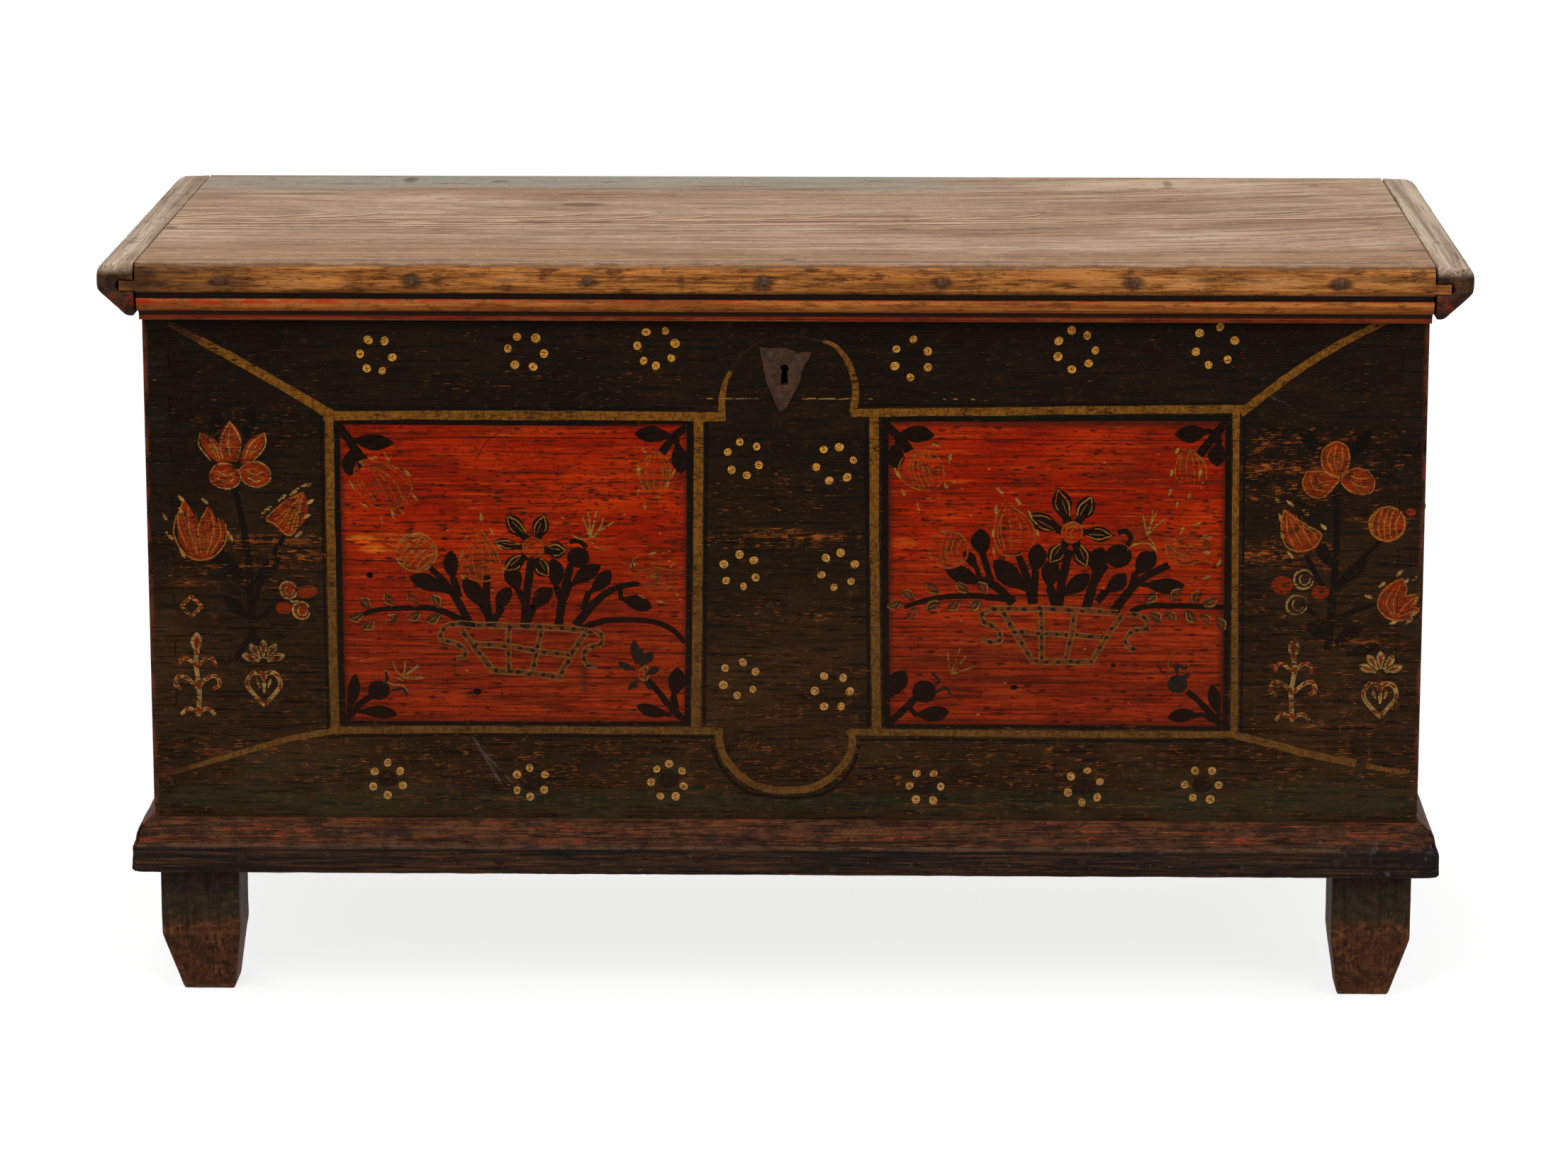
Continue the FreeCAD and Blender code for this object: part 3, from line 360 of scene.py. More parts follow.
def field_paint(s, p):
    """Red of the two fields, darker and streaked below, worn at its edges, with chips and hair cracks."""
    x, y, z = s.split(p)
    upper = s.step(z, board_joint - joint_soft, board_joint + joint_soft)
    q = s.join(s.scale(upper, 2.3, x), 0.0, z)
    ridges = s.noise(q, (16, 1, 300), 4, 0.65, 0.2)
    cloud = s.noise(q, (6, 1, 15), 3, 0.55)
    blotch = s.noise(q, (46, 1, 105), 5, 0.72)
    dash = s.noise(q, (95, 1, 480), 3, 0.6)
    low = s.step(z, 0.47, 0.33)
    bands = s.noise(q, (5, 1, 105), 4, 0.6, 0.2)
    lines = s.noise(q, (7, 1, 450), 3, 0.62, 0.3)
    red = s.mix(low, (146, 25, 3), (132, 36, 12))
    red = s.tint(red, s.mix(low, (174, 45, 5), (156, 48, 15)), s.step(cloud, 0.4, 0.68))
    red = s.tint(red, s.mix(low, (88, 24, 7), (76, 26, 11)), s.step(bands, 0.50, 0.34), 0.45)
    red = s.tint(red, s.mix(low, (96, 22, 5), (84, 26, 10)), s.step(blotch, 0.52, 0.36), 0.65)
    shade = s.step(s.noise(q, (8, 1, 17), 5, 0.65), 0.5, 0.68)
    red = s.tint(red, s.mix(low, (82, 28, 8), (70, 28, 13)), shade, 0.45)
    yellow = s.most(*[s.blot(x, z, place, blotch) for place in yellow_places])
    red = s.tint(red, s.mix(s.step(blotch, 0.4, 0.6), (216, 74, 10), (196, 116, 22)), yellow)
    dull = s.most(*[s.region(x, z, place) for place in dull_places])
    red = s.tint(red, (78, 32, 14), dull, s.step(cloud, 0.35, 0.6), 0.6)
    grain = s.times(s.step(lines, 0.52, 0.4), s.blend(low, 0.4, 0.72), s.step(blotch, 0.3, 0.56))
    red = s.tint(red, s.mix(low, (64, 15, 4), (46, 16, 7)), grain)
    streaks = s.step(ridges, 0.47, 0.37)
    red = s.tint(red, (56, 19, 8), streaks, 0.75)
    light = s.times(s.step(ridges, 0.56, 0.66), s.blend(low, 0.45, 0.3))
    red = s.tint(red, s.mix(low, (206, 72, 14), (186, 72, 26)), light)
    crowd = s.times(s.within(z, 0.42, 0.54, 0.05), s.step(cloud, 0.34, 0.6))
    crowd = s.times(crowd, s.step(blotch, 0.58, 0.44))
    pits = s.step(s.plus(dash, s.times(crowd, 0.08)), 0.62, 0.65)
    red = s.tint(red, (38, 16, 9), pits, 0.88)
    nicks = s.spots(q, (78, 1, 230), 0.42, 0.16)
    red = s.tint(red, (42, 18, 10), nicks, 0.85)
    smears = s.times(s.step(s.noise(q, (34, 1, 230), 6, 0.78), 0.6, 0.65), 0.7)
    red = s.tint(red, (52, 22, 11), smears)
    hairs = s.within(s.noise(q, (150, 1, 5), 2, 0.5), 0.4985, 0.5015, 0.004)
    red = s.tint(red, (64, 24, 12), hairs, s.step(cloud, 0.46, 0.6), 0.45)
    chips = s.spots(q, (120, 1, 170), 0.24, 0.03)
    red = s.tint(red, (190, 116, 60), chips, 0.45)
    sides = [s.step(s.size(s.minus(x, place * mm)), edge_soft, 0.0) for place in field_edges]
    sides += [s.step(z, field_low + edge_soft, field_low), s.step(z, field_high - edge_soft, field_high)]
    worn_edge = s.times(s.most(*sides), s.blend(ridges, 0.25, 1.25))
    red = s.tint(red, (48, 20, 10), worn_edge)
    rough = s.blend(blotch, 0.46, 0.64)
    height = s.minus(ridges, s.times(pits, 0.5))
    return red, rough, height, s.plus(s.times(dash, 0.6), s.times(blotch, 0.4))


field = shared("red_field", field_paint)


def over(under, tone, low_tone, worn, streak, pace=(150, 1, 420)):
    """A coat of one colour on what is under it, thin on the ridges of the grain."""
    def paint(s, p):
        base, _, height, grain = under(s, p)
        z = s.split(p)[2]
        brush = s.noise(p, pace, 5, 0.68)
        cloud = s.noise(p, (36, 1, 36), 4, 0.65)
        colour = s.mix(s.step(z, 0.56, 0.30), tone, low_tone)
        colour = s.tint(colour, streak, s.step(brush, 0.58, 0.38), 0.75)
        bare = s.plus(s.times(grain, 0.55), s.plus(s.times(cloud, 0.2), s.times(brush, 0.25)))
        gone = s.step(bare, 0.60 - worn * 0.26, 0.65 - worn * 0.2)
        colour = s.tint(colour, base, gone, min(1.0, 0.3 + worn * 1.8))
        return colour, s.blend(brush, 0.46, 0.6), s.plus(height, s.times(brush, 0.2))
    return paint


def plain(group):
    """The group's colour, roughness and height without its grain."""
    def paint(s, p):
        return group(s, p)[:3]
    return paint


# Coats of paint: what is under, tone above and below, share worn off, tone of the streaks, gloss, pace of the brush
coat_rows = {
    "dark_on_red": (field, (17, 9, 5), (27, 16, 10), 0.12, (34, 17, 10), 0.025),
    "dark_on_ground": (ground, (13, 9, 5), (27, 17, 11), 0.3, (18, 12, 8), 0.03),
    "wash_on_red": (field, (104, 52, 13), (84, 42, 18), 0.66, (58, 32, 12), 0.04),
    "olive_on_red": (field, (66, 42, 18), (62, 38, 21), 0.4, (38, 24, 12), 0.03),
    "faded_line": (ground, (84, 44, 20), (78, 44, 22), 0.4, (40, 24, 12), 0.04),
    "ghost_line": (ground, (52, 30, 16), (50, 32, 18), 0.5, (34, 22, 13), 0.03),
    "ochre_line": (ground, (126, 78, 22), (102, 68, 29), 0.36, (62, 38, 14), 0.03, (300, 1, 190)),
    "gold_dot": (ground, (202, 142, 54), (176, 128, 68), 0.16, (116, 70, 24), 0.04),
    "cream_on_red": (field, (150, 116, 42), (130, 98, 46), 0.46, (92, 58, 20), 0.03),
    "gold_on_red": (field, (144, 84, 20), (114, 70, 26), 0.48, (98, 44, 12), 0.03),
    "brown_on_red": (field, (36, 25, 14), (34, 25, 17), 0.12, (24, 17, 11), 0.05),
    "cream_on_ground": (ground, (172, 126, 64), (160, 122, 68), 0.46, (88, 54, 24), 0.03, (240, 1, 160)),
    "gold_on_ground": (ground, (164, 100, 34), (140, 86, 36), 0.38, (96, 50, 18), 0.03),
    "petal_red": (ground, (144, 45, 9), (122, 34, 10), 0.42, (70, 26, 8), 0.03),
    "dot_heart": (ground, (30, 20, 12), (36, 23, 14), 0.3, (26, 17, 11), 0.03),
    "strap_on_red": (field, (112, 56, 22), (100, 52, 24), 0.34, (66, 34, 15), 0.04),
    "strap_line": (field, (136, 88, 34), (116, 76, 34), 0.26, (88, 48, 18), 0.03),
    "dot_brown": (ground, (84, 48, 16), (78, 46, 22), 0.1, (48, 28, 12), 0.05),
    "crack_dark": (ground, (8, 5, 3), (9, 6, 4), 0.2, (20, 13, 8), 0.03),
}
finishes = {"red_field": material("red_field", plain(field), specular=0.03, bump=0.5)}
for name, (under, tone, low_tone, worn, streak, gloss, *pace) in coat_rows.items():
    finishes[name] = material(name, over(under, tone, low_tone, worn, streak, *pace), specular=gloss)


pine_tones = (176, 138, 94), (150, 110, 70), (104, 70, 42)
knot_tone = (58, 34, 20)


def pine_paint(along):
    """Bare boards along x or y: bands of growth, fine pores, knots and small scratches."""
    light, middle, dark = pine_tones

    def paint(s, p):
        x, y, z = s.split(p)
        q = s.join(y, x, z) if along == "y" else s.join(x, y, z)
        bands = s.noise(q, (2.2, 62, 62), 4, 0.55, 0.35)
        fine = s.noise(q, (11, 520, 520), 3, 0.6)
        cloud = s.noise(q, (3.5, 11, 11), 3, 0.6)
        colour = s.mix(s.step(bands, 0.34, 0.66), middle, light)
        colour = s.coat(colour, middle, cloud, 0.6, 0.36, 0.6)
        colour = s.coat(colour, dark, fine, 0.5, 0.36, 0.55)
        colour = s.coat(colour, dark, bands, 0.42, 0.3, 0.5)
        colour = s.tint(colour, dark, s.spots(q, (2.6, 13, 13), 0.24, 0.3), 0.45)
        colour = s.tint(colour, knot_tone, s.spots(q, (2.6, 13, 13), 0.16, 0.3), 0.7)
        colour = s.coat(colour, dark, s.noise(p, (90, 130, 90), 6, 0.75), 0.64, 0.7, 0.4)
        colour = s.coat(colour, dark, s.noise(q, (30, 900, 900), 3, 0.65), 0.44, 0.38, 0.5)
        colour = s.tint(colour, dark, s.within(s.noise(q, (0.9, 34, 34), 2, 0.5, 0.6), 0.485, 0.5, 0.006), 0.4)
        return colour, s.blend(cloud, 0.6, 0.8), s.plus(s.times(bands, 0.5), s.times(fine, 0.6))
    return paint


pine, pine_y = pine_paint("x"), pine_paint("y")


def side_paint(s, p):
    """Brown-red paint of the ends, rubbed through along the grain, at the edges and under the handle."""
    x, y, z = s.split(p)
    upper = s.step(z, board_joint - joint_soft, board_joint + joint_soft)
    q = s.join(s.scale(upper, 1.7, y), s.times(x, 3.0), z)
    ridges = s.noise(q, (18, 1, 280), 4, 0.65, 0.2)
    cloud = s.noise(q, (5, 1, 11), 4, 0.62, 0.4)
    blotch = s.noise(q, (46, 1, 95), 5, 0.72)
    dash = s.noise(q, (80, 1, 520), 3, 0.6)
    colour = s.mix(s.step(cloud, 0.36, 0.64), (40, 20, 14), (92, 40, 23))
    colour = s.coat(colour, (22, 12, 9), ridges, 0.54, 0.38, 0.8)
    colour = s.coat(colour, (116, 54, 29), blotch, 0.52, 0.66, 0.6)
    far = s.size(s.minus(y, case_middle_y))
    half = (back_plane - front_plane) / 2
    edges = s.most(s.step(far, half - 0.045, half - 0.003), s.step(z, 0.25, 0.19), s.step(z, 0.615, 0.66))
    grip = s.times(s.step(far, 0.085, 0.05), s.within(z, grip_low, grip_low + 0.075, 0.02))
    rubbed = s.most(edges, grip, s.times(s.step(cloud, 0.52, 0.68), 0.7))
    worn = s.step(s.plus(s.plus(s.times(dash, 0.6), s.times(blotch, 0.4)), s.times(rubbed, 0.085)),
                  0.612, 0.675)
    wood = s.mix(s.step(blotch, 0.4, 0.6), (104, 54, 25), (152, 90, 46))
    colour = s.tint(colour, wood, worn, 0.85)
    corner = s.times(s.step(far, half - 0.006, half - 0.001), s.step(s.noise(p, (60, 60, 40), 5, 0.72), 0.44, 0.58))
    colour = s.tint(colour, (150, 98, 58), corner, 0.8)
    pits = s.step(s.noise(q, (70, 1, 300), 3, 0.6), 0.37, 0.30)
    colour = s.tint(colour, (10, 7, 5), pits, 0.85)
    scrape = s.within(s.noise(p, (5, 22, 30), 2, 0.5, 1.2), 0.4975, 0.5025, 0.003)
    colour = s.tint(colour, (132, 94, 66), scrape, s.step(cloud, 0.48, 0.58), 0.7)
    joint = s.within(z, board_joint - 0.0006, board_joint + 0.0008, 0.0005)
    colour = s.tint(colour, (9, 6, 5), joint, 0.85)
    return colour, s.blend(blotch, 0.5, 0.66), s.minus(ridges, s.times(worn, 0.3)), dash


side_cover = shared("side_cover", side_paint)
end_grain = 0.42


def boards(inner, outer_side):
    """Painted outside, bare pine on the faces that look into the case, down or back."""
    def paint(s, p):
        out_colour, out_rough, out_height = ground(s, p)[:3]
        in_colour, in_rough, in_height = inner(s, p)
        end_colour, end_rough, end_height = side_cover(s, p)[:3]
        x, y = s.split(p)[:2]
        outside = s.step(s.size(x), case_half - 0.0008, case_half - 0.0003)
        if outer_side == "side":
            bare = s.step(s.size(x), case_half - 0.0008, case_half - 0.0016)
            bare = s.times(bare, s.step(y, front_plane + 0.0003, front_plane + 0.0009))
        else:
            end_colour = s.tint(end_colour, (20, 11, 8), 1 - end_grain)
            bare = s.minus(1.0, outside)
            if outer_side == "front":
                bare = s.times(bare, s.step(y, front_plane + 0.0008, front_plane + 0.0016))
        if outer_side == "back":
            out_colour = end_colour
        else:
            out_colour = s.tint(out_colour, end_colour, outside)
        out_rough, out_height = s.blend(outside, out_rough, end_rough), s.blend(outside, out_height, end_height)
        colour = s.mix(bare, out_colour, in_colour)
        return colour, s.blend(bare, out_rough, in_rough), s.blend(bare, out_height, in_height)
    return paint


# The lid's grain: tips of the arched growth lines, x and y, and dark marks, x, y, half sizes, strength
arch_tips = [
    (-545, 28), (-442, 29), (-400, 23), (-192, 31), (-132, 16), (-76, 15), (48, 21), (160, 15), (246, 27), (322, 8),
    (520, 50), (626, 44),
]
arch_fall = 0.0165
arch_run = 0.012
lid_marks = [
    (-205, 85, 26, 15, 0.75), (5, -262, 9, 8, 0.85), (-392, 255, 9, 20, 0.75), (-345, 232, 22, 6, 0.45),
    (-300, 247, 12, 9, 0.6), (-190, 243, 10, 5, 0.6), (-350, 122, 7, 5, 0.6), (380, 240, 6, 26, 0.55),
    (378, 208, 11, 5, 0.7), (392, 40, 26, 14, 0.3), (528, 228, 6, 6, 0.6), (378, 138, 9, 5, 0.5),
    (-345, 190, 9, 4, 0.5), (-595, -74, 7, 8, 0.8), (105, -72, 12, 5, 0.6), (236, -58, 18, 3, 0.7),
    (-270, -129, 8, 3, 0.5), (-340, -88, 10, 5, 0.6), (160, -70, 20, 4, 0.5), (320, 30, 10, 9, 0.35),
    (215, 4, 30, 9, 0.3), (-580, 150, 40, 40, 0.3), (396, -98, 22, 3, 0.4), (525, 108, 20, 2.5, 0.5),
]


# Long cracks of the lid, its worn front arris and the boards' joint, from and to in y, in metres
crack_rows = ((-0.0802, -0.0768), (-0.2228, -0.2202), (-0.2640, -0.2606))
arris_row = (-0.2764, -0.2736)
joint_row = (-0.0163, -0.0149)


def lid_paint(s, p):
    """Scrubbed grey-brown pine with arched growth lines, each a groove with a painted shade in front and a painted
    highlight behind, bluish at the rear, cracked along the grain.
    """
    x, y, z = s.split(p)
    rise = s.math("POWER", s.math("MAXIMUM", s.plus(x, 0.05), 0.0), 2.0)
    rise = s.times(rise, s.step(y, -0.30, -0.03), 0.22)
    v = s.minus(y, rise)
    q = s.join(x, v, z)
    wander = s.noise(q, (7, 9, 9), 3, 0.6)
    bands = s.noise(q, (0.9, 95, 20), 4, 0.6, 0.25)
    broad = s.noise(q, (1.8, 12, 9), 4, 0.6, 0.6)
    fine = s.noise(q, (7, 240, 200), 4, 0.65)
    cloud = s.noise(q, (5, 9, 9), 5, 0.65)
    speck = s.noise(q, (60, 150, 90), 5, 0.75)
    lines = s.ripple(v, 0.0088, wander, 22)
    colour = s.mix(s.step(bands, 0.34, 0.62), (162, 128, 98), (190, 161, 133))
    colour = s.coat(colour, (150, 112, 82), broad, 0.56, 0.36, 0.6)
    colour = s.coat(colour, (208, 182, 154), cloud, 0.5, 0.68, 0.6)
    colour = s.tint(colour, (132, 96, 68), s.step(lines, 0.45, 0.95), s.step(broad, 0.62, 0.42), 0.45)
    colour = s.coat(colour, (100, 72, 50), fine, 0.49, 0.36, 0.8)
    colour = s.coat(colour, (112, 80, 56), bands, 0.37, 0.29, 0.6)
    rear = s.times(s.step(s.plus(y, s.times(cloud, 0.09)), 0.19, 0.28), 0.85)
    rear = s.times(rear, s.step(x, 0.26, 0.08))
    colour = s.tint(colour, (146, 147, 136), rear, s.step(broad, 0.3, 0.6))
    colour = s.tint(colour, (112, 96, 78), rear, s.step(speck, 0.5, 0.42), 0.6)
    near = s.times(s.step(s.plus(y, s.times(cloud, 0.08)), -0.10, -0.24), 0.62)
    colour = s.tint(colour, (148, 104, 66), near)
    crisp = s.step(s.noise(q, (5, 620, 200), 4, 0.72), 0.46, 0.42)
    colour = s.tint(colour, (92, 64, 44), crisp, s.step(cloud, 0.64, 0.42), 0.5)
    gate = s.step(s.noise(q, (14, 40, 20), 3, 0.6), 0.28, 0.5)
    shaded_grooves, lights = [], []
    for tip_x, tip_y in arch_tips:
        behind = s.scale(x, -1 / arch_run, tip_x * mm / arch_run)
        fall = s.math("LOGARITHM", s.plus(s.math("MAXIMUM", behind, 0.0), 1.0), math.e)
        off = s.scale(fall, arch_fall, s.minus(y, tip_y * mm))
        off = s.plus(off, s.scale(wander, 0.018, -0.009))
        shown = s.step(behind, 0.0, 0.15)
        # Each growth line: painted shade in its groove on the front side, painted highlight on its rear side
        shaded_grooves.append(s.times(s.within(off, -0.0042, -0.0004, 0.0012), shown))
        lights.append(s.times(s.within(off, 0.0008, 0.0064, 0.0020), shown))
    colour = s.tint(colour, (212, 178, 142), s.most(*lights), 0.75)
    colour = s.tint(colour, (98, 62, 40), s.most(*shaded_grooves), gate, 0.95)
    crack = s.times(s.within(s.plus(v, s.times(wander, 0.010)), *crack_rows[0], 0.0012), gate)
    second = s.times(s.within(s.plus(v, s.times(wander, 0.012)), *crack_rows[1], 0.0012),
                     s.step(x, -0.22, -0.12), s.step(s.noise(q, (9, 30, 9), 3, 0.6), 0.38, 0.5))
    third = s.times(s.within(s.plus(v, s.times(wander, 0.016)), *crack_rows[2], 0.0014),
                    s.step(s.noise(q, (6, 30, 9), 3, 0.6), 0.44, 0.56))
    split = s.within(s.noise(q, (1.3, 46, 40), 2, 0.5, 0.5), 0.494, 0.506, 0.008)
    split = s.times(split, s.step(s.noise(q, (4, 26, 9), 3, 0.55), 0.48, 0.56), 0.8)
    crack = s.most(crack, second, third, split)
    colour = s.tint(colour, (72, 47, 31), crack, 0.85)
    arris = s.times(s.within(y, *arris_row, 0.0012), s.step(s.noise(q, (10, 30, 9), 3, 0.6), 0.3, 0.42))
    colour = s.tint(colour, (50, 31, 18), arris, 0.88)
    joint = s.times(s.within(y, *joint_row, 0.0010), gate, 0.5)
    colour = s.tint(colour, (96, 66, 44), joint)
    dirt = s.times(s.step(speck, 0.56, 0.66), 0.5)
    colour = s.tint(colour, (108, 78, 56), dirt)
    flecks = s.times(s.step(speck, 0.42, 0.34), 0.4)
    colour = s.tint(colour, (216, 190, 164), flecks)
    pits = s.step(s.noise(q, (40, 260, 90), 3, 0.6), 0.645, 0.69)
    colour = s.tint(colour, (78, 52, 36), pits, 0.75)
    marks = s.most(*[s.blot(x, y, place, speck) for place in lid_marks])
    colour = s.tint(colour, (84, 60, 44), marks)
    scratches = s.within(s.noise(p, (34, 26, 9), 2, 0.5, 1.4), 0.4975, 0.5025, 0.004)
    scratches = s.times(scratches, s.step(cloud, 0.5, 0.6), 0.35)
    colour = s.tint(colour, (124, 92, 68), scratches)
    height = s.minus(s.plus(s.times(bands, 0.7), s.times(fine, 0.5)), s.times(crack, 2.0))
    height = s.minus(height, s.times(s.most(*shaded_grooves), gate, 1.2))
    return colour, s.blend(cloud, 0.66, 0.82), height, fine


lid_group = shared("lid_top", lid_paint)


# Middles of the nails in the nose, in metres, round which the wood is stained
nose_nails = (-0.522, -0.344, -0.181, -0.019, 0.146, 0.323, 0.513)
nose_marks = [
    (26, 711, 9, 3, 0.8), (-596, 700, 22, 14, 0.8), (-505, 697, 18, 8, 0.6), (-95, 700, 4, 9, 0.5),
    (405, 703, 40, 3, 0.6), (560, 704, 40, 5, 0.7), (-420, 690, 60, 3, 0.6), (230, 690, 50, 3, 0.5),
]
pale_places = [(452, 700, 46, 8, 0.75), (372, 700, 22, 8, 0.7), (-252, 702, 18, 5, 0.4), (330, 701, 12, 9, 0.5)]


# The moulding's parts by their depth below the lid's top, from and to, in metres
quirk_depth = (0.0276, 0.0350)
roll_depth = (0.0332, 0.0346)
red_edge_depth = (0.0333, 0.0339)
red_edge_end = (0.0358, 0.0348)
red_edge_wider = 0.0034
hollow_depth = (0.0462, 0.0474)
fillet_depth = (0.0518, 0.0528)
fillet_line = (0.0524, 0.0536)
lip_depth = (0.0556, 0.0566)


def nose_paint(s, p):
    """The lid's moulded front: worn top, orange-brown nose, painted roll and fillet below, with painted shade in the
    quirk and the hollow.
    """
    top = lid_group(s, p)[0]
    x, y, z = s.split(p)
    drop = s.minus(lid_top, z)
    q = s.join(x, 0.0, drop)
    fine = s.noise(q, (26, 1, 800), 4, 0.6)
    bands = s.noise(q, (6, 1, 240), 4, 0.6, 0.5)
    blotch = s.noise(q, (30, 1, 120), 6, 0.74)
    cloud = s.noise(q, (6, 1, 36), 4, 0.6)
    pores = s.noise(q, (70, 1, 620), 3, 0.6)
    nose = s.mix(s.step(bands, 0.36, 0.62), (130, 75, 29), (186, 117, 54))
    nose = s.coat(nose, (66, 36, 15), blotch, 0.5, 0.38, 0.85)
    nose = s.coat(nose, (62, 33, 13), fine, 0.5, 0.38, 0.75)
    nose = s.coat(nose, (204, 134, 68), cloud, 0.54, 0.66, 0.6)
    pale = s.most(*[s.blot(x, z, place, blotch) for place in pale_places])
    nose = s.tint(nose, (206, 142, 84), pale, 0.8)
    crisp = s.step(s.noise(q, (40, 1, 1400), 4, 0.66), 0.49, 0.43)
    nose = s.tint(nose, (80, 44, 18), crisp, 0.36)
    nose = s.coat(nose, (50, 28, 13), pores, 0.6, 0.67, 0.7)
    nose = s.coat(nose, (52, 34, 18), x, -0.40, -0.6, 0.6)
    stain = s.most(*[s.blot(x, z, (place * 1000, 699, 13, 8, 1.0), blotch) for place in nose_nails])
    stain = s.most(stain, *[s.blot(x, z, place, blotch) for place in nose_marks])
    nose = s.tint(nose, (44, 26, 14), stain, 0.85)
    tears = s.times(s.within(s.noise(q, (9, 1, 160), 3, 0.6, 0.8), 0.492, 0.508, 0.01), s.step(cloud, 0.44, 0.54))
    nose = s.tint(nose, (38, 22, 12), tears, 0.85)
    brow = s.plus(drop, s.scale(blotch, 0.006, -0.003))
    colour = s.mix(s.step(brow, 0.0012, 0.0042), top, nose)
    colour = s.tint(colour, (62, 36, 18), s.within(brow, 0.0008, 0.0030, 0.0009), s.step(bands, 0.36, 0.5), 0.6)
    # Painted shade: the quirk's recess darkened almost to black
    quirk = s.within(drop, *quirk_depth, 0.0012)
    colour = s.tint(colour, (26, 14, 8), quirk)
    roll = s.mix(s.step(bands, 0.4, 0.6), (146, 78, 30), (188, 114, 50))
    roll = s.coat(roll, (80, 39, 16), blotch, 0.5, 0.38, 0.65)
    roll = s.coat(roll, (52, 28, 13), pores, 0.6, 0.67, 0.6)
    wide = s.times(s.step(s.plus(x, s.times(cloud, 0.2)), -0.14, -0.34), red_edge_wider)
    red_edge = s.times(s.step(drop, *red_edge_depth), s.step(s.minus(drop, wide), *red_edge_end))
    roll = s.tint(roll, (178, 42, 12), red_edge, s.step(blotch, 0.44, 0.56), 0.85)
    reddened = s.times(s.step(s.plus(x, s.times(cloud, 0.3)), -0.26, -0.46), s.step(blotch, 0.46, 0.56), 0.7)
    roll = s.tint(roll, (166, 38, 12), reddened)
    roll = s.tint(roll, (84, 40, 15), s.step(s.noise(q, (40, 1, 1400), 3, 0.6), 0.5, 0.42), 0.35)
    colour = s.tint(colour, roll, s.step(drop, *roll_depth))
    # Painted shade: the hollow under the roll darkened
    hollow = s.mix(blotch, (22, 12, 7), (56, 28, 15))
    colour = s.tint(colour, hollow, s.step(drop, *hollow_depth))
    fillet = s.mix(s.step(bands, 0.42, 0.6), (120, 34, 14), (142, 74, 32))
    fillet = s.coat(fillet, (54, 24, 12), blotch, 0.52, 0.4, 0.7)
    fillet = s.tint(fillet, (168, 40, 14), s.within(drop, *fillet_line, 0.0007), 0.7)
    colour = s.tint(colour, fillet, s.step(drop, *fillet_depth))
    colour = s.coat(colour, (140, 92, 42), drop, *lip_depth, 0.5)
    scratches = s.times(s.step(s.noise(q, (130, 1, 260), 6, 0.78), 0.6, 0.67), 0.6)
    colour = s.tint(colour, (40, 22, 12), scratches)
    height = s.plus(s.times(bands, 0.5), s.times(fine, 0.5))
    height = s.minus(height, s.times(tears, 0.8))
    return colour, s.blend(blotch, 0.48, 0.66), height


def cleat_paint(s, p):
    """Cleats: grey on top, brown at the outer faces, with remains of red below."""
    x, y, z = s.split(p)
    q = s.join(y, x, z)
    fine = s.noise(q, (9, 520, 520), 3, 0.6)
    bands = s.noise(q, (2.4, 70, 70), 4, 0.55, 0.5)
    patch = s.noise(p, (30, 30, 60), 5, 0.68)
    top = s.mix(s.step(bands, 0.35, 0.65), (148, 124, 102), (196, 174, 150))
    top = s.coat(top, (112, 90, 70), fine, 0.5, 0.37, 0.6)
    top = s.coat(top, (104, 80, 60), patch, 0.58, 0.68, 0.5)
    drop = s.minus(lid_top, z)
    brown = s.mix(s.step(bands, 0.38, 0.62), (46, 29, 17), (88, 57, 34))
    brown = s.coat(brown, (28, 18, 12), patch, 0.56, 0.42, 0.7)
    brown = s.coat(brown, (44, 27, 18), fine, 0.48, 0.36, 0.5)
    colour = s.mix(s.step(drop, 0.003, 0.012), top, brown)
    red = s.times(s.step(drop, 0.026, 0.034), s.step(patch, 0.44, 0.54))
    colour = s.tint(colour, (120, 32, 16), red, 0.75)
    cracks = s.noise(q, (3, 150, 150), 2, 0.5, 0.8)
    crack = s.times(s.within(cracks, 0.494, 0.506, 0.006), s.step(patch, 0.45, 0.55))
    colour = s.tint(colour, (48, 32, 22), crack, 0.8)
    holes = s.spots(p, (190, 190, 190), 0.3, 0.06)
    colour = s.tint(colour, (50, 34, 24), holes, 0.8)
    height = s.minus(s.plus(s.times(bands, 0.5), s.times(fine, 0.5)), s.times(crack, 1.5))
    return colour, s.blend(patch, 0.58, 0.78), height


# Heights on the plinth, from and to, in metres
slope_height = (0.150, 0.160)
lip_height = (0.1520, 0.1552)
groove_height = (0.1494, 0.1514)
brim_height = (0.1762, 0.1782)
foot_of_plinth = (0.129, 0.1262)


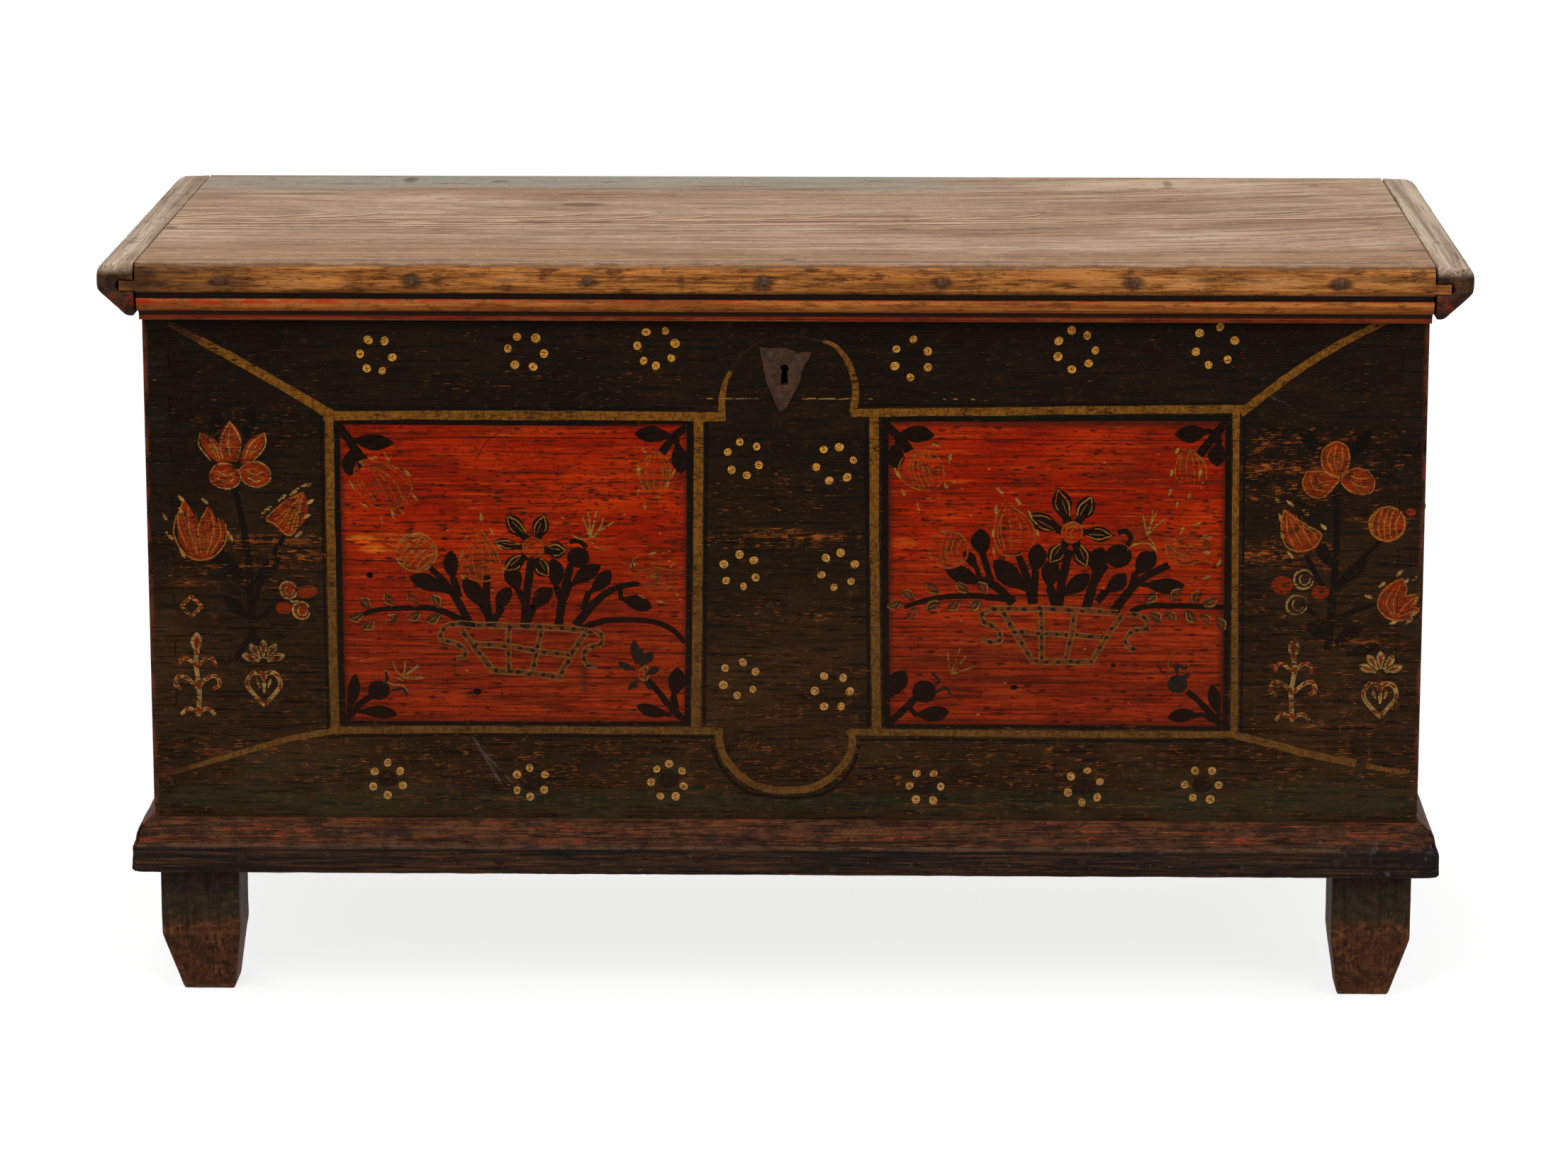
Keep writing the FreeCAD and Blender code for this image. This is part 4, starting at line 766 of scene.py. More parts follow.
def plinth_paint(axis):
    """Dark cracked plinth, purple-brown, with remains of red on its top slope, painted shade in its groove and a
    painted highlight on the lip above it.
    """
    def paint(s, p):
        x, y, z = s.split(p)
        along, across = (x, y) if axis == "x" else (y, x)
        q = s.join(along, 0.0, s.plus(z, s.times(across, 0.7)))
        fine = s.noise(q, (20, 1, 520), 4, 0.62)
        bands = s.noise(q, (7, 1, 190), 4, 0.62, 0.6)
        blotch = s.noise(p, (40, 40, 90), 6, 0.74)
        crust = s.noise(p, (130, 130, 170), 5, 0.7)
        colour = s.mix(s.step(bands, 0.36, 0.64), (27, 18, 13), (58, 39, 26))
        colour = s.coat(colour, (15, 10, 8), fine, 0.5, 0.38, 0.7)
        colour = s.coat(colour, (98, 58, 27), fine, 0.57, 0.66, 0.55)
        upper = s.step(z, *slope_height)
        slope = s.mix(s.step(blotch, 0.4, 0.62), (50, 29, 18), (102, 60, 33))
        slope = s.coat(slope, (26, 15, 10), fine, 0.5, 0.4, 0.6)
        colour = s.tint(colour, slope, upper, 0.75)
        streaks = s.times(s.step(bands, 0.51, 0.57), s.step(fine, 0.5, 0.58), s.step(blotch, 0.46, 0.54))
        red = s.times(streaks, s.blend(upper, 0.12, 0.9))
        colour = s.tint(colour, s.mix(s.step(crust, 0.4, 0.6), (104, 25, 12), (168, 40, 15)), red)
        threads = s.noise(q, (9, 1, 700), 3, 0.6)
        gilt = s.times(s.step(threads, 0.6, 0.65), s.step(bands, 0.46, 0.56), s.blend(upper, 0.35, 0.8))
        colour = s.tint(colour, s.mix(s.step(blotch, 0.45, 0.55), (150, 44, 16), (150, 92, 36)), gilt)
        cracked = s.within(s.noise(q, (5, 1, 120), 3, 0.55, 0.8), 0.492, 0.508, 0.007)
        colour = s.tint(colour, (10, 7, 6), cracked, s.step(blotch, 0.4, 0.5), 0.85)
        chips = s.times(s.step(crust, 0.60, 0.68), 0.5)
        colour = s.tint(colour, (92, 74, 62), chips)
        # Painted highlight along the lip above the groove
        lip = s.times(s.within(z, *lip_height, 0.0012), s.step(blotch, 0.40, 0.54), 0.5)
        colour = s.tint(colour, (96, 68, 48), lip)
        # Painted shade in the groove under the lip
        groove = s.within(s.plus(z, s.times(bands, 0.0016)), *groove_height, 0.0009)
        colour = s.tint(colour, (12, 8, 6), groove, 0.75)
        brim = s.times(s.step(z, *brim_height), 0.6)
        colour = s.tint(colour, (84, 54, 32), brim)
        lowest = s.times(s.step(z, *foot_of_plinth), s.step(blotch, 0.46, 0.56), 0.7)
        colour = s.tint(colour, (122, 82, 48), lowest)
        height = s.plus(s.times(bands, 0.6), s.plus(s.times(fine, 0.5), s.times(crust, 0.6)))
        height = s.minus(height, s.times(cracked, 0.8))
        char = s.times(s.step(s.size(x), 0.50, 0.58), s.step(y, -0.2, -0.25), s.step(x, 0.0, 0.1))
        char = s.times(char, s.step(z, 0.168, 0.156))
        lumps = s.noise(p, (60, 60, 60), 5, 0.75)
        colour = s.tint(colour, (21, 16, 15), char, s.step(lumps, 0.36, 0.5), 0.85)
        colour = s.tint(colour, (96, 88, 88), char, s.step(lumps, 0.58, 0.66), 0.7)
        return colour, s.blend(blotch, 0.5, 0.72), s.plus(height, s.times(char, lumps, 1.5))
    return paint


# Height of a foot's knee, where its taper starts
knee_height = (0.0682, 0.0706)


def foot_paint(s, p):
    """Dark block feet, olive-brown and mottled above, rubbed browner towards the floor."""
    x, y, z = s.split(p)
    q = s.join(z, x, y)
    fine = s.noise(q, (16, 300, 300), 4, 0.62)
    patch = s.noise(p, (38, 38, 55), 5, 0.7)
    mottle = s.noise(p, (95, 95, 120), 5, 0.72)
    upper = s.mix(s.step(mottle, 0.38, 0.62), (36, 26, 17), (57, 43, 29))
    lower = s.mix(s.step(mottle, 0.38, 0.62), (54, 31, 18), (88, 51, 30))
    level = s.plus(z, s.scale(patch, 0.05, -0.025))
    colour = s.mix(s.step(level, 0.082, 0.070), upper, lower)
    colour = s.coat(colour, (22, 15, 10), fine, 0.5, 0.38, 0.5)
    worn = s.times(s.step(patch, 0.52, 0.6), s.step(fine, 0.44, 0.56), s.step(level, 0.078, 0.066))
    colour = s.tint(colour, (112, 70, 38), worn, 0.7)
    knee = s.times(s.within(level, *knee_height, 0.0010), s.step(mottle, 0.42, 0.54), 0.65)
    colour = s.tint(colour, (112, 70, 40), knee)
    toe = s.times(s.step(z, 0.008, 0.001), s.step(patch, 0.36, 0.5), 0.5)
    colour = s.tint(colour, (124, 84, 50), toe)
    cracks = s.within(s.noise(q, (7, 60, 60), 3, 0.55, 0.7), 0.495, 0.505, 0.006)
    colour = s.tint(colour, (16, 11, 8), cracks, s.step(patch, 0.46, 0.54), 0.7)
    scuffs = s.times(s.step(s.noise(p, (150, 150, 190), 5, 0.75), 0.6, 0.67), 0.4)
    colour = s.tint(colour, (96, 78, 58), scuffs)
    red = s.times(s.step(s.noise(p, (60, 60, 40), 4, 0.7), 0.62, 0.7), 0.3)
    colour = s.tint(colour, (98, 42, 24), red)
    height = s.plus(s.times(fine, 0.4), s.plus(s.times(mottle, 0.5), s.times(patch, 0.5)))
    height = s.minus(height, s.times(cracks, 0.6))
    return colour, s.blend(patch, 0.5, 0.72), height


def iron_paint(tone, rust, pace):
    """Old forged iron: hammered, pitted, browned."""
    def paint(s, p):
        patch = s.noise(p, (pace, pace, pace), 5, 0.65)
        pits = s.noise(p, (pace * 6, pace * 6, pace * 6), 4, 0.7)
        colour = s.mix(s.step(patch, 0.42, 0.64), tone, rust)
        colour = s.coat(colour, (26, 20, 17), pits, 0.5, 0.34, 0.6)
        glint = s.times(s.step(pits, 0.6, 0.72), 0.3)
        colour = s.tint(colour, (128, 110, 98), glint)
        return colour, s.blend(patch, 0.45, 0.72), s.plus(s.times(patch, 0.8), s.times(pits, 0.6))
    return paint


def plank_paint(s, p):
    """The lid's boards: scrubbed on top, plain browned pine on the underside."""
    colour, rough, height = lid_group(s, p)[:3]
    in_colour, in_rough, in_height = pine(s, p)
    under = s.step(s.split(p)[2], lid_top - 0.020, lid_top - 0.026)
    in_colour = s.tint(in_colour, (132, 92, 58), 0.45)
    return s.mix(under, colour, in_colour), s.blend(under, rough, in_rough), s.blend(under, height, in_height)


def dress(finish, names):
    """Gives CAD nodes a finish; a name with a star takes every node that starts so."""
    for name in names.split():
        chosen = [n for n in nodes if n.startswith(name[:-1])] if name.endswith("*") else [name]
        for one in chosen:
            mesh = nodes[one].data
            if not mesh.materials:
                mesh.materials.append(finish)
            for slot in nodes[one].material_slots:
                slot.material = finish


# Finishes of the CAD nodes: name, paint, metal, gloss, bump, depth of the bump in metres, nodes
for name, paint, metal, gloss, bump, depth, names in [
    ("bare_pine", pine, 0.0, 0.2, 0.4, 0.0006, "bottom_front_board bottom_middle_board bottom_rear_board"),
    ("bare_pine_side", pine_y, 0.0, 0.2, 0.4, 0.0006, "till_floor till_front"),
    ("front_board", boards(pine, "front"), 0.0, 0.035, 0.5, 0.0006, "front_upper_board front_lower_board"),
    ("side_board", boards(pine_y, "side"), 0.0, 0.05, 0.5, 0.0006,
     "left_upper_board left_lower_board right_upper_board right_lower_board"),
    ("back_board", boards(pine, "back"), 0.0, 0.12, 0.5, 0.0006, "back_upper_board back_lower_board"),
    ("weathered_lid", plank_paint, 0.0, 0.12, 0.5, 0.0008, "lid_front_plank lid_rear_plank"),
    ("lid_nose", nose_paint, 0.0, 0.08, 0.5, 0.0006, "lid_front_moulding"),
    ("cleat_wood", cleat_paint, 0.0, 0.08, 0.5, 0.0008, "lid_left_cleat lid_right_cleat"),
    ("plinth_front_wood", plinth_paint("x"), 0.0, 0.07, 0.8, 0.0012, "plinth_front"),
    ("plinth_side_wood", plinth_paint("y"), 0.0, 0.07, 0.8, 0.0012, "plinth_left plinth_right"),
    ("foot_wood", foot_paint, 0.0, 0.07, 0.7, 0.001,
     "front_left_foot front_right_foot rear_left_foot rear_right_foot foot_wedges"),
    ("wrought_iron", iron_paint((58, 50, 45), (84, 58, 42), 60), 0.55, 0.4, 0.5, 0.0006,
     "hinge_* left_handle_* right_handle_*"),
    ("lock_iron", iron_paint((53, 35, 24), (74, 47, 31), 90), 0.05, 0.1, 0.6, 0.0004,
     "escutcheon lock_bolt lock_cover lock_plate lock_spring bolt_guides lid_staple"),
    ("sunk_nails", iron_paint((66, 44, 30), (100, 66, 42), 260), 0.0, 0.12, 0.6, 0.0004,
     "lid_cleat_nails lid_moulding_nails"),
    ("painted_nails", iron_paint((30, 20, 15), (48, 30, 20), 260), 0.0, 0.08, 0.6, 0.0004, "plinth_nails"),
    ("nail_iron", iron_paint((48, 38, 32), (78, 50, 34), 200), 0.35, 0.35, 0.5, 0.0004,
     "bottom_nails escutcheon_nails lid_staple_nails lock_nails"),
]:
    finishes[name] = material(name, paint, metal, gloss, bump, depth)
    dress(finishes[name], names)


# Hand-painted shapes: how deep a coat is bedded and by how much its shapes differ in height, in metres,
# and how far and how fast the hand wavers, in millimetres
coat_sink = 0.00005
coat_step = 0.000001
coat_layers = 37
waver = 0.55
waver_pace = 0.11


def wavered(x, z):
    """The point moved a little, as by an unsteady hand."""
    drift = noise.noise_vector(Vector((x * waver_pace, z * waver_pace, 3.7)))
    return x + drift.x * waver, z + drift.z * waver


def flow(points, per=5):
    """A smooth line through a few points."""
    if len(points) < 3:
        return list(points)
    ends = [points[0]] + list(points) + [points[-1]]
    made = []
    for a, b, c, d in zip(ends, ends[1:], ends[2:], ends[3:]):
        for step in range(per):
            t = step / per
            made.append(tuple(
                0.5 * (2 * b[i] + (c[i] - a[i]) * t + (2 * a[i] - 5 * b[i] + 4 * c[i] - d[i]) * t * t
                       + (3 * b[i] - a[i] - 3 * c[i] + d[i]) * t ** 3) for i in (0, 1)))
    made.append(points[-1])
    return made


class Coat:
    """Painted shapes of one colour on the front, each a thin closed patch; sizes in millimetres."""

    def __init__(self, name, finish, lift):
        self.name, self.finish, self.lift = name, finishes[finish], lift
        self.form = bmesh.new()
        self.count = 0

    def depths(self):
        """The y of a shape's face and of its back, a hair different for each so that none coincide."""
        self.count += 1
        return front_plane - self.lift - coat_step * (self.count % coat_layers), front_plane + coat_sink

    def ring_of(self, outline, y):
        return [self.form.verts.new((x * mm, y, z * mm)) for x, z in outline]

    def patch(self, outline):
        near, far = self.depths()
        outline = [wavered(x, z) for x, z in outline]
        front, back = self.ring_of(outline, near), self.ring_of(outline, far)
        self.form.faces.new(front)
        self.form.faces.new(back[::-1])
        for i in range(len(front)):
            j = (i + 1) % len(front)
            self.form.faces.new((front[i], back[i], back[j], front[j]))

    def line(self, points, width, taper=0.0, closed=False, smooth=True, end=None):
        """A brush line along the points; taper thins both ends, end gives the width at the last point."""
        path = flow(points + [points[0]] if closed else points) if smooth else list(points)
        if closed:
            path = path[:-1]
        path = [wavered(x, z) for x, z in path]
        count = len(path)
        near, far = self.depths()
        sides = []
        for i, (x, z) in enumerate(path):
            before = path[i - 1] if i or closed else path[i]
            after = path[(i + 1) % count] if i + 1 < count or closed else path[i]
            dx, dz = after[0] - before[0], after[1] - before[1]
            size = math.hypot(dx, dz) or 1.0
            share = i / max(1, count - 1)
            half = (width + ((end if end is not None else width) - width) * share) / 2
            half *= 1 - taper * abs(2 * share - 1) ** 3
            half *= 1 + 0.16 * noise.noise(Vector((x * 0.21, z * 0.21, 9.1)))
            nx, nz = -dz / size * half, dx / size * half
            sides.append(((x + nx, z + nz), (x - nx, z - nz)))
        columns = []
        for y in (near, far):
            columns.append([self.ring_of(pair, y) for pair in sides])
        last = count if closed else count - 1
        for i in range(last):
            j = (i + 1) % count
            (a, b), (c, d) = columns[0][i], columns[0][j]
            (e, f), (g, h) = columns[1][i], columns[1][j]
            for face in ((a, b, d, c), (e, g, h, f), (a, c, g, e), (b, f, h, d)):
                self.form.faces.new(face)
        if not closed:
            for i, order in ((0, 1), (count - 1, -1)):
                (a, b), (e, f) = columns[0][i], columns[1][i]
                self.form.faces.new((a, e, f, b)[::order])

    def almond(self, tip, base, width, stem=0.16, full=0.52, bend=0.0):
        """A leaf or petal from its base to its tip; full is where it is widest."""
        dx, dz = tip[0] - base[0], tip[1] - base[1]
        size = math.hypot(dx, dz)
        ux, uz = dx / size, dz / size
        steps = 9
        left, right = [], []
        for i in range(steps + 1):
            t = i / steps
            swell = math.sin(math.pi * t ** (math.log(0.5) / math.log(full))) ** 0.74 if 0 < t < 1 else 0
            half = width / 2 * max(swell, stem * (1 - t))
            off = bend * math.sin(math.pi * t)
            cx, cz = base[0] + dx * t - uz * off, base[1] + dz * t + ux * off
            left.append((cx - uz * half, cz + ux * half))
            right.append((cx + uz * half, cz - ux * half))
        self.patch(left + right[-2::-1])

    def disc(self, x, z, across, high=None, tilt=0.0, count=16):
        self.patch(oval(x, z, across, high or across, tilt, count))

    def lines(self, rows, share=1.0, taper=0.0):
        """Brush lines: width, then x and z of each point."""
        for width, path in runs(rows):
            self.line(path, width * share, taper)

    def stems(self, rows, share=1.0):
        """Brush lines: first width, last width, then x and z of each point."""
        for width, end, path in runs(rows, 2):
            self.line(path, width * share, end=end * share)

    def almonds(self, rows, **form):
        """Leaves or petals: tip, base, width."""
        for tip, base, width in rows:
            self.almond(tip, base, width, **form)

    def discs(self, rows, count=16):
        """Discs: x, z, half width, half height and, where it is turned, the tilt in degrees."""
        for x, z, across, high, *tilt in rows:
            self.disc(x, z, across, high, *(tilt or [0.0]), count)

    def ring(self, x, z, across, high, width, tilt=0.0, share=1.0, start=0.0, count=18):
        """A drawn circle, whole or in part, with its radius to the middle of the line."""
        if share >= 1:
            self.line(oval(x, z, across, high, tilt, count), width, closed=True)
        else:
            whole = [start + share * 2 * math.pi * i / count for i in range(count + 1)]
            self.line([turned(x, z, across * math.cos(a), high * math.sin(a), tilt) for a in whole], width, 0.5)

    def dashes(self, places, width):
        """Short strokes: x, z, length, direction in degrees."""
        for x, z, length, turn in places:
            dx = math.cos(math.radians(turn)) * length / 2
            dz = math.sin(math.radians(turn)) * length / 2
            self.almond((x + dx, z + dz), (x - dx, z - dz), width, stem=0.6, full=0.55)

    def lay(self):
        bmesh.ops.recalc_face_normals(self.form, faces=self.form.faces)
        mesh = bpy.data.meshes.new(self.name)
        self.form.to_mesh(mesh)
        self.form.free()
        mesh.materials.append(self.finish)
        made = placed(self.name, mesh)
        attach(made, "case")


def runs(rows, heads=1):
    """Rows of one or two widths and then x and z of each point, as the widths and a list of points."""
    return [row[:heads] + (list(zip(row[heads::2], row[heads + 1::2])),) for row in rows]


def turned(x, z, dx, dz, tilt):
    """The point at x, z moved by dx, dz turned by the tilt in degrees."""
    turn = math.radians(tilt)
    return x + dx * math.cos(turn) - dz * math.sin(turn), z + dx * math.sin(turn) + dz * math.cos(turn)


def spot(base, along, aside, a, b):
    """The point a times along and b times aside from the base."""
    return base[0] + along[0] * a + aside[0] * b, base[1] + along[1] * a + aside[1] * b


def oval(x, z, across, high, tilt=0.0, count=16):
    """The outline of an oval: middle, half width, half height."""
    whole = [2 * math.pi * i / count for i in range(count)]
    return [turned(x, z, across * math.cos(a), high * math.sin(a), tilt) for a in whole]


# Red fields and the lines round them, in millimetres
red_fields = {"left": (-418, -90.5, 269.5, 559), "right": (97, 414, 269.5, 563)}

fields = Coat("red_fields", "red_field", 0.00008)
for x0, x1, z0, z1 in red_fields.values():
    across = [x0 + (x1 - x0) * i / 24 for i in range(25)]
    up = [z0 + (z1 - z0) * i / 20 for i in range(1, 20)]
    fields.patch([(x, z0) for x in across] + [(x1, z) for z in up]
                 + [(x, z1) for x in across[::-1]] + [(x0, z) for z in up[::-1]])
fields.lay()

dark_lines = Coat("dark_lines", "dark_on_ground", 0.00012)
dark_lines.lines([
    (5, -419.5, 560, -419.5, 420, -418.5, 268), (4.5, -421, 559.5, -250, 560, -88, 560.5),
    (5.5, -88.5, 561, -89.5, 420, -92, 268), (3.5, -420, 269.5, -250, 270, -90, 270),
    (6.5, 94, 566, 94.5, 420, 97, 268), (5, 92, 564, 250, 565, 418, 567), (5, 414.5, 566, 416, 420, 417.5, 268),
    (3.5, 97, 269, 250, 269, 418, 268), (2.2, -434, 566, -434, 420, -433, 262), (2.2, 430, 572, 431, 420, 432, 262),
    (3.2, -72.5, 560, -74, 420, -76, 268), (3.2, 76.5, 562, 78, 420, 80, 268),
    (2.2, -420, 572.5, -250, 573, -84, 573.5), (2.0, 70, 577, 250, 579, 420, 580.5),
    (2.4, -420, 257, -250, 257.5, -68, 257.5), (2.4, 72, 256, 250, 255.5, 420, 256),
    (3.0, -69, 250, -60, 228, -40, 206, -12, 199, 20, 199, 46, 207, 64, 228, 71, 250),
])

ochre = Coat("ochre_lines", "ochre_line", 0.00016)
ochre.lines([
    (9.5, -426.5, 570, -427, 480, -427, 380, -426.5, 261), (10, -432, 565, -330, 566.5, -200, 566.5, -56, 566),
    (10.5, -80.5, 562, -81, 470, -82, 380, -84, 261), (8, -431, 262, -330, 263.5, -200, 263.5, -58, 263),
    (10, 84, 566, 84.5, 470, 85.5, 380, 87.5, 260), (9, 62, 570, 180, 571.5, 300, 573.5, 429, 575),
    (7.5, 422, 572, 423, 470, 424, 380, 425.5, 261), (7.5, 62, 263, 180, 262, 300, 261.5, 429, 262),
], share=0.86)
ochre.stems([
    (7.5, 9.5, -546, 637, -510, 617, -455, 585, -424, 566), (4.5, 6, -566, 225, -538, 233, -472, 253, -424, 262),
    (8, 6.5, 426, 571, 465, 602, 498, 625, 532, 645, 560, 659), (7, 7.5, 427, 261, 465, 252, 498, 243, 541, 234.5),
    (6, 3, 550, 232.5, 562, 230, 577, 227.5, 592, 226.5), (7, 4, -58.5, 562, -58.5, 580, -56, 596, -50.5, 609),
    (7.5, 3, 64, 570, 66.5, 590, 63, 610, 56, 624, 46, 634, 36, 638),
    (7, 7, -63, 264, -59, 243, -48, 226, -33, 213, -16, 207, 3, 205.5, 23, 207.5, 40, 215, 53, 227, 61.5, 240, 64.5,
     256, 62, 265),
])
ochre.lay()
faded = Coat("faded_line", "faded_line", 0.00015)
faded.stems([
    (5.5, 6.5, -576, 653, -560, 644.5, -536, 631), (5, 5, -598, 216, -580, 221, -560, 226.5),
])
faded.lay()
ghost = Coat("ghost_line", "ghost_line", 0.00014)
ghost.line([(-51, 606), (-45, 619), (-33, 631), (-18, 639), (0, 642.5), (18, 642), (40, 636)], 2.8, end=2.2)
ghost.lay()

# Rosettes of dots: x, z, radius, how many, where the first dot is in degrees
rosettes = [
    (-382, 623, 15.5, 6, 115), (-242, 627.5, 16.5, 6, 174), (-119.5, 631, 17.5, 7, 170), (119, 622, 17, 6, 146),
    (271, 631, 18, 7, 155), (401, 635, 18, 6, 137), (-38.5, 526.5, 16, 6, 161), (47, 522, 17, 6, 130),
    (-41, 419, 16, 6, 156), (50, 420, 16.5, 6, 139), (-43, 314, 16.5, 6, 140), (46, 302, 17, 6, 118),
    (-377, 215, 15, 6, 150), (-241, 212, 15, 6, 150), (-110, 215, 16.5, 7, 136), (133, 210, 15, 6, 121),
    (284, 210, 15.5, 6, 140), (396, 213, 16, 6, 116),
]
dot_radius = 4.05
hand = random.Random(17)
dots = Coat("rosette_dots", "gold_dot", 0.0002)
curls = Coat("rosette_curls", "dot_brown", 0.00024)
hearts = Coat("rosette_hearts", "dot_heart", 0.00013)
for x, z, radius, count, start in rosettes:
    if z < 250:
        hearts.disc(x, z, 9.5, 8)
    for i in range(count):
        turn = math.radians(start - 360 * i / count + hand.uniform(-5, 5))
        reach = radius * hand.uniform(0.93, 1.07)
        cx, cz = x + reach * math.cos(turn), z + reach * math.sin(turn)
        size = dot_radius * hand.uniform(0.9, 1.06)
        dots.disc(cx, cz, size, size * hand.uniform(0.86, 1.0), hand.uniform(0, 180), 14)
        for touch in range(6):
            away, way = size * hand.uniform(0.1, 0.72), math.radians(60 * touch + hand.uniform(-25, 25))
            curls.disc(cx + away * math.cos(way), cz + away * math.sin(way), hand.uniform(0.5, 1.15),
                       hand.uniform(0.35, 0.6), hand.uniform(0, 180), 7)
hearts.lay()
dots.lay()
curls.lay()

# Corner sprays and basket plants, dark on the red: leaves as tip, base, width
dark_leaves = [
    ((-351, 411), (-317, 397), 12), ((-314, 435), (-312, 408), 11), ((-301, 409), (-284, 381), 13),
    ((-259, 400), (-271, 379), 11), ((-260, 420), (-251, 398), 13), ((-220, 400), (-238, 381), 12.5),
    ((-218, 428), (-215, 401), 13), ((-175, 422), (-201, 404), 11.5), ((-165, 417), (-182, 398), 11.5),
    ((-127, 383), (-154, 391), 12), ((-369, 540), (-407, 543), 12), ((-409, 510), (-404, 536), 14.5),
    ((-138, 549), (-105, 547), 12), ((-97, 513), (-101, 541), 13), ((-406, 315), (-413, 281), 9),
    ((-369, 278), (-403, 281), 9.5), ((-101, 323), (-105, 296), 12.5), ((-138, 287), (-109, 279), 9.5),
    ((153, 420), (186, 407), 12.5), ((184, 458), (187, 433), 14.5), ((169, 437), (181, 422), 8),
    ((199, 428), (227, 402), 16), ((238, 444), (235, 418), 13.5), ((252, 430), (250, 402), 13.5),
    ((285, 416), (262, 397), 12.5), ((298, 441), (292, 416), 14.5), ((320, 416), (302, 399), 12),
    ((347, 437), (331, 417), 14.5), ((374, 406), (338, 407), 11.5), ((138, 549), (105, 549), 12.5),
    ((104, 518), (106, 543), 13), ((367, 551), (397, 554), 12.5), ((405, 522), (406, 544), 13.5),
    ((113, 321), (100, 297), 14.5), ((154, 283), (124, 280), 12), ((404, 309), (411, 281), 9.5),
    ((364, 279), (393, 281), 10.5),
]
dark_stems = [
    (7.5, 5, -295, 362, -306, 384, -317, 402, -335, 422), (8, 5.5, -277, 364, -281, 388, -280, 413),
    (8, 6, -245, 363, -243, 395, -238, 432), (7.5, 6, -213, 364, -209, 392, -201, 424),
    (8, 4, -197, 365, -178, 388, -160, 401, -136, 406), (6, 5, -275, 368, -266, 382), (6, 6, -244, 366, -236, 384),
    (7, 6, -284, 383, -276, 368), (6, 6, -312, 410, -307, 392), (6, 5, -215, 402, -210, 388),
    (6, 5, -203, 402, -208, 390), (6, 5, -184, 398, -190, 380), (6, 5, -251, 399, -244, 384),
    (6, 3.5, -295, 364, -315, 375, -332, 381, -356, 381.5, -386, 379, -405, 372),
    (5.5, 4, -191, 362, -172, 369.5, -148, 371, -123, 369, -105, 361, -94, 349),
    (4.5, 3.5, -202, 446, -193, 446.5, -186, 440), (7, 7, -418, 556, -411, 547, -405, 537, -394, 523),
    (6, 7, -92, 556, -103, 547, -115, 531), (6, 6, -101, 541, -103, 548), (6, 5, -415, 273, -403, 287, -390, 297),
    (6, 4.5, -92, 271, -105, 283, -121, 303, -130, 314), (6, 6, -105, 297, -103, 284),
    (8, 6, 215, 388, 201, 403, 184, 411), (8, 5.5, 234, 388, 228, 412, 219, 437), (7.5, 6, 234, 388, 236, 420),
    (8, 6.5, 258, 385, 261, 410, 268, 440), (7, 7, 255, 386, 250, 404), (8, 6.5, 284, 383, 291, 408, 302, 426),
    (8, 5.5, 310, 381, 332, 409, 361, 426), (5.5, 5.5, 187, 434, 194, 410), (6, 6, 292, 418, 289, 396),
    (6, 6, 302, 400, 294, 390), (6, 6, 330, 418, 326, 402),
    (6, 3.5, 217, 392, 196, 394, 174, 395.5, 150, 394, 130, 390, 113, 384),
    (5, 4.5, 326, 380, 340, 386, 370, 386.5, 400, 386, 421, 385), (4.5, 4, 313, 456, 320, 458, 325, 452, 322, 444),
    (6.5, 8, 92, 561, 107, 547, 118, 533), (7, 7.5, 413, 563, 401, 548, 388, 531), (6.5, 6, 406, 543, 404, 551),
    (6, 6, 99, 271, 111, 283, 124, 296), (6.5, 4.5, 413, 271, 396, 290, 380, 304), (6, 6, 398, 281, 407, 276),
]
dark_buds = [(-194, 430.5, 10.5, 10), (314, 434, 12.5, 11.5), (-384, 301.5, 10.5, 9.5), (132, 302.5, 11.5, 11)]
leaf_fullness = 1.3
leaf_reach = 1.08
stem_fullness = 1.14
stalk_reach = 15
stem_points = [point for width, end, path in runs(dark_stems, 2) for point in flow(path)]
leafage = Coat("dark_leafage", "dark_on_red", 0.00016)
for number, (tip, base, width) in enumerate(dark_leaves):
    tip = tuple(base[i] + (tip[i] - base[i]) * leaf_reach for i in (0, 1))
    leafage.almond(tip, base, width * leaf_fullness, stem=0.26, full=0.56, bend=1.2 if number % 2 else -1.0)
    inner = tuple(base[i] + (tip[i] - base[i]) * 0.2 for i in (0, 1))
    root = min(stem_points, key=lambda point: math.dist(point, base))
    if math.dist(root, base) < stalk_reach:
        leafage.line([inner, base, root], 5.2, end=4.6, smooth=False)
leafage.stems(dark_stems, stem_fullness)
leafage.discs(dark_buds, 18)

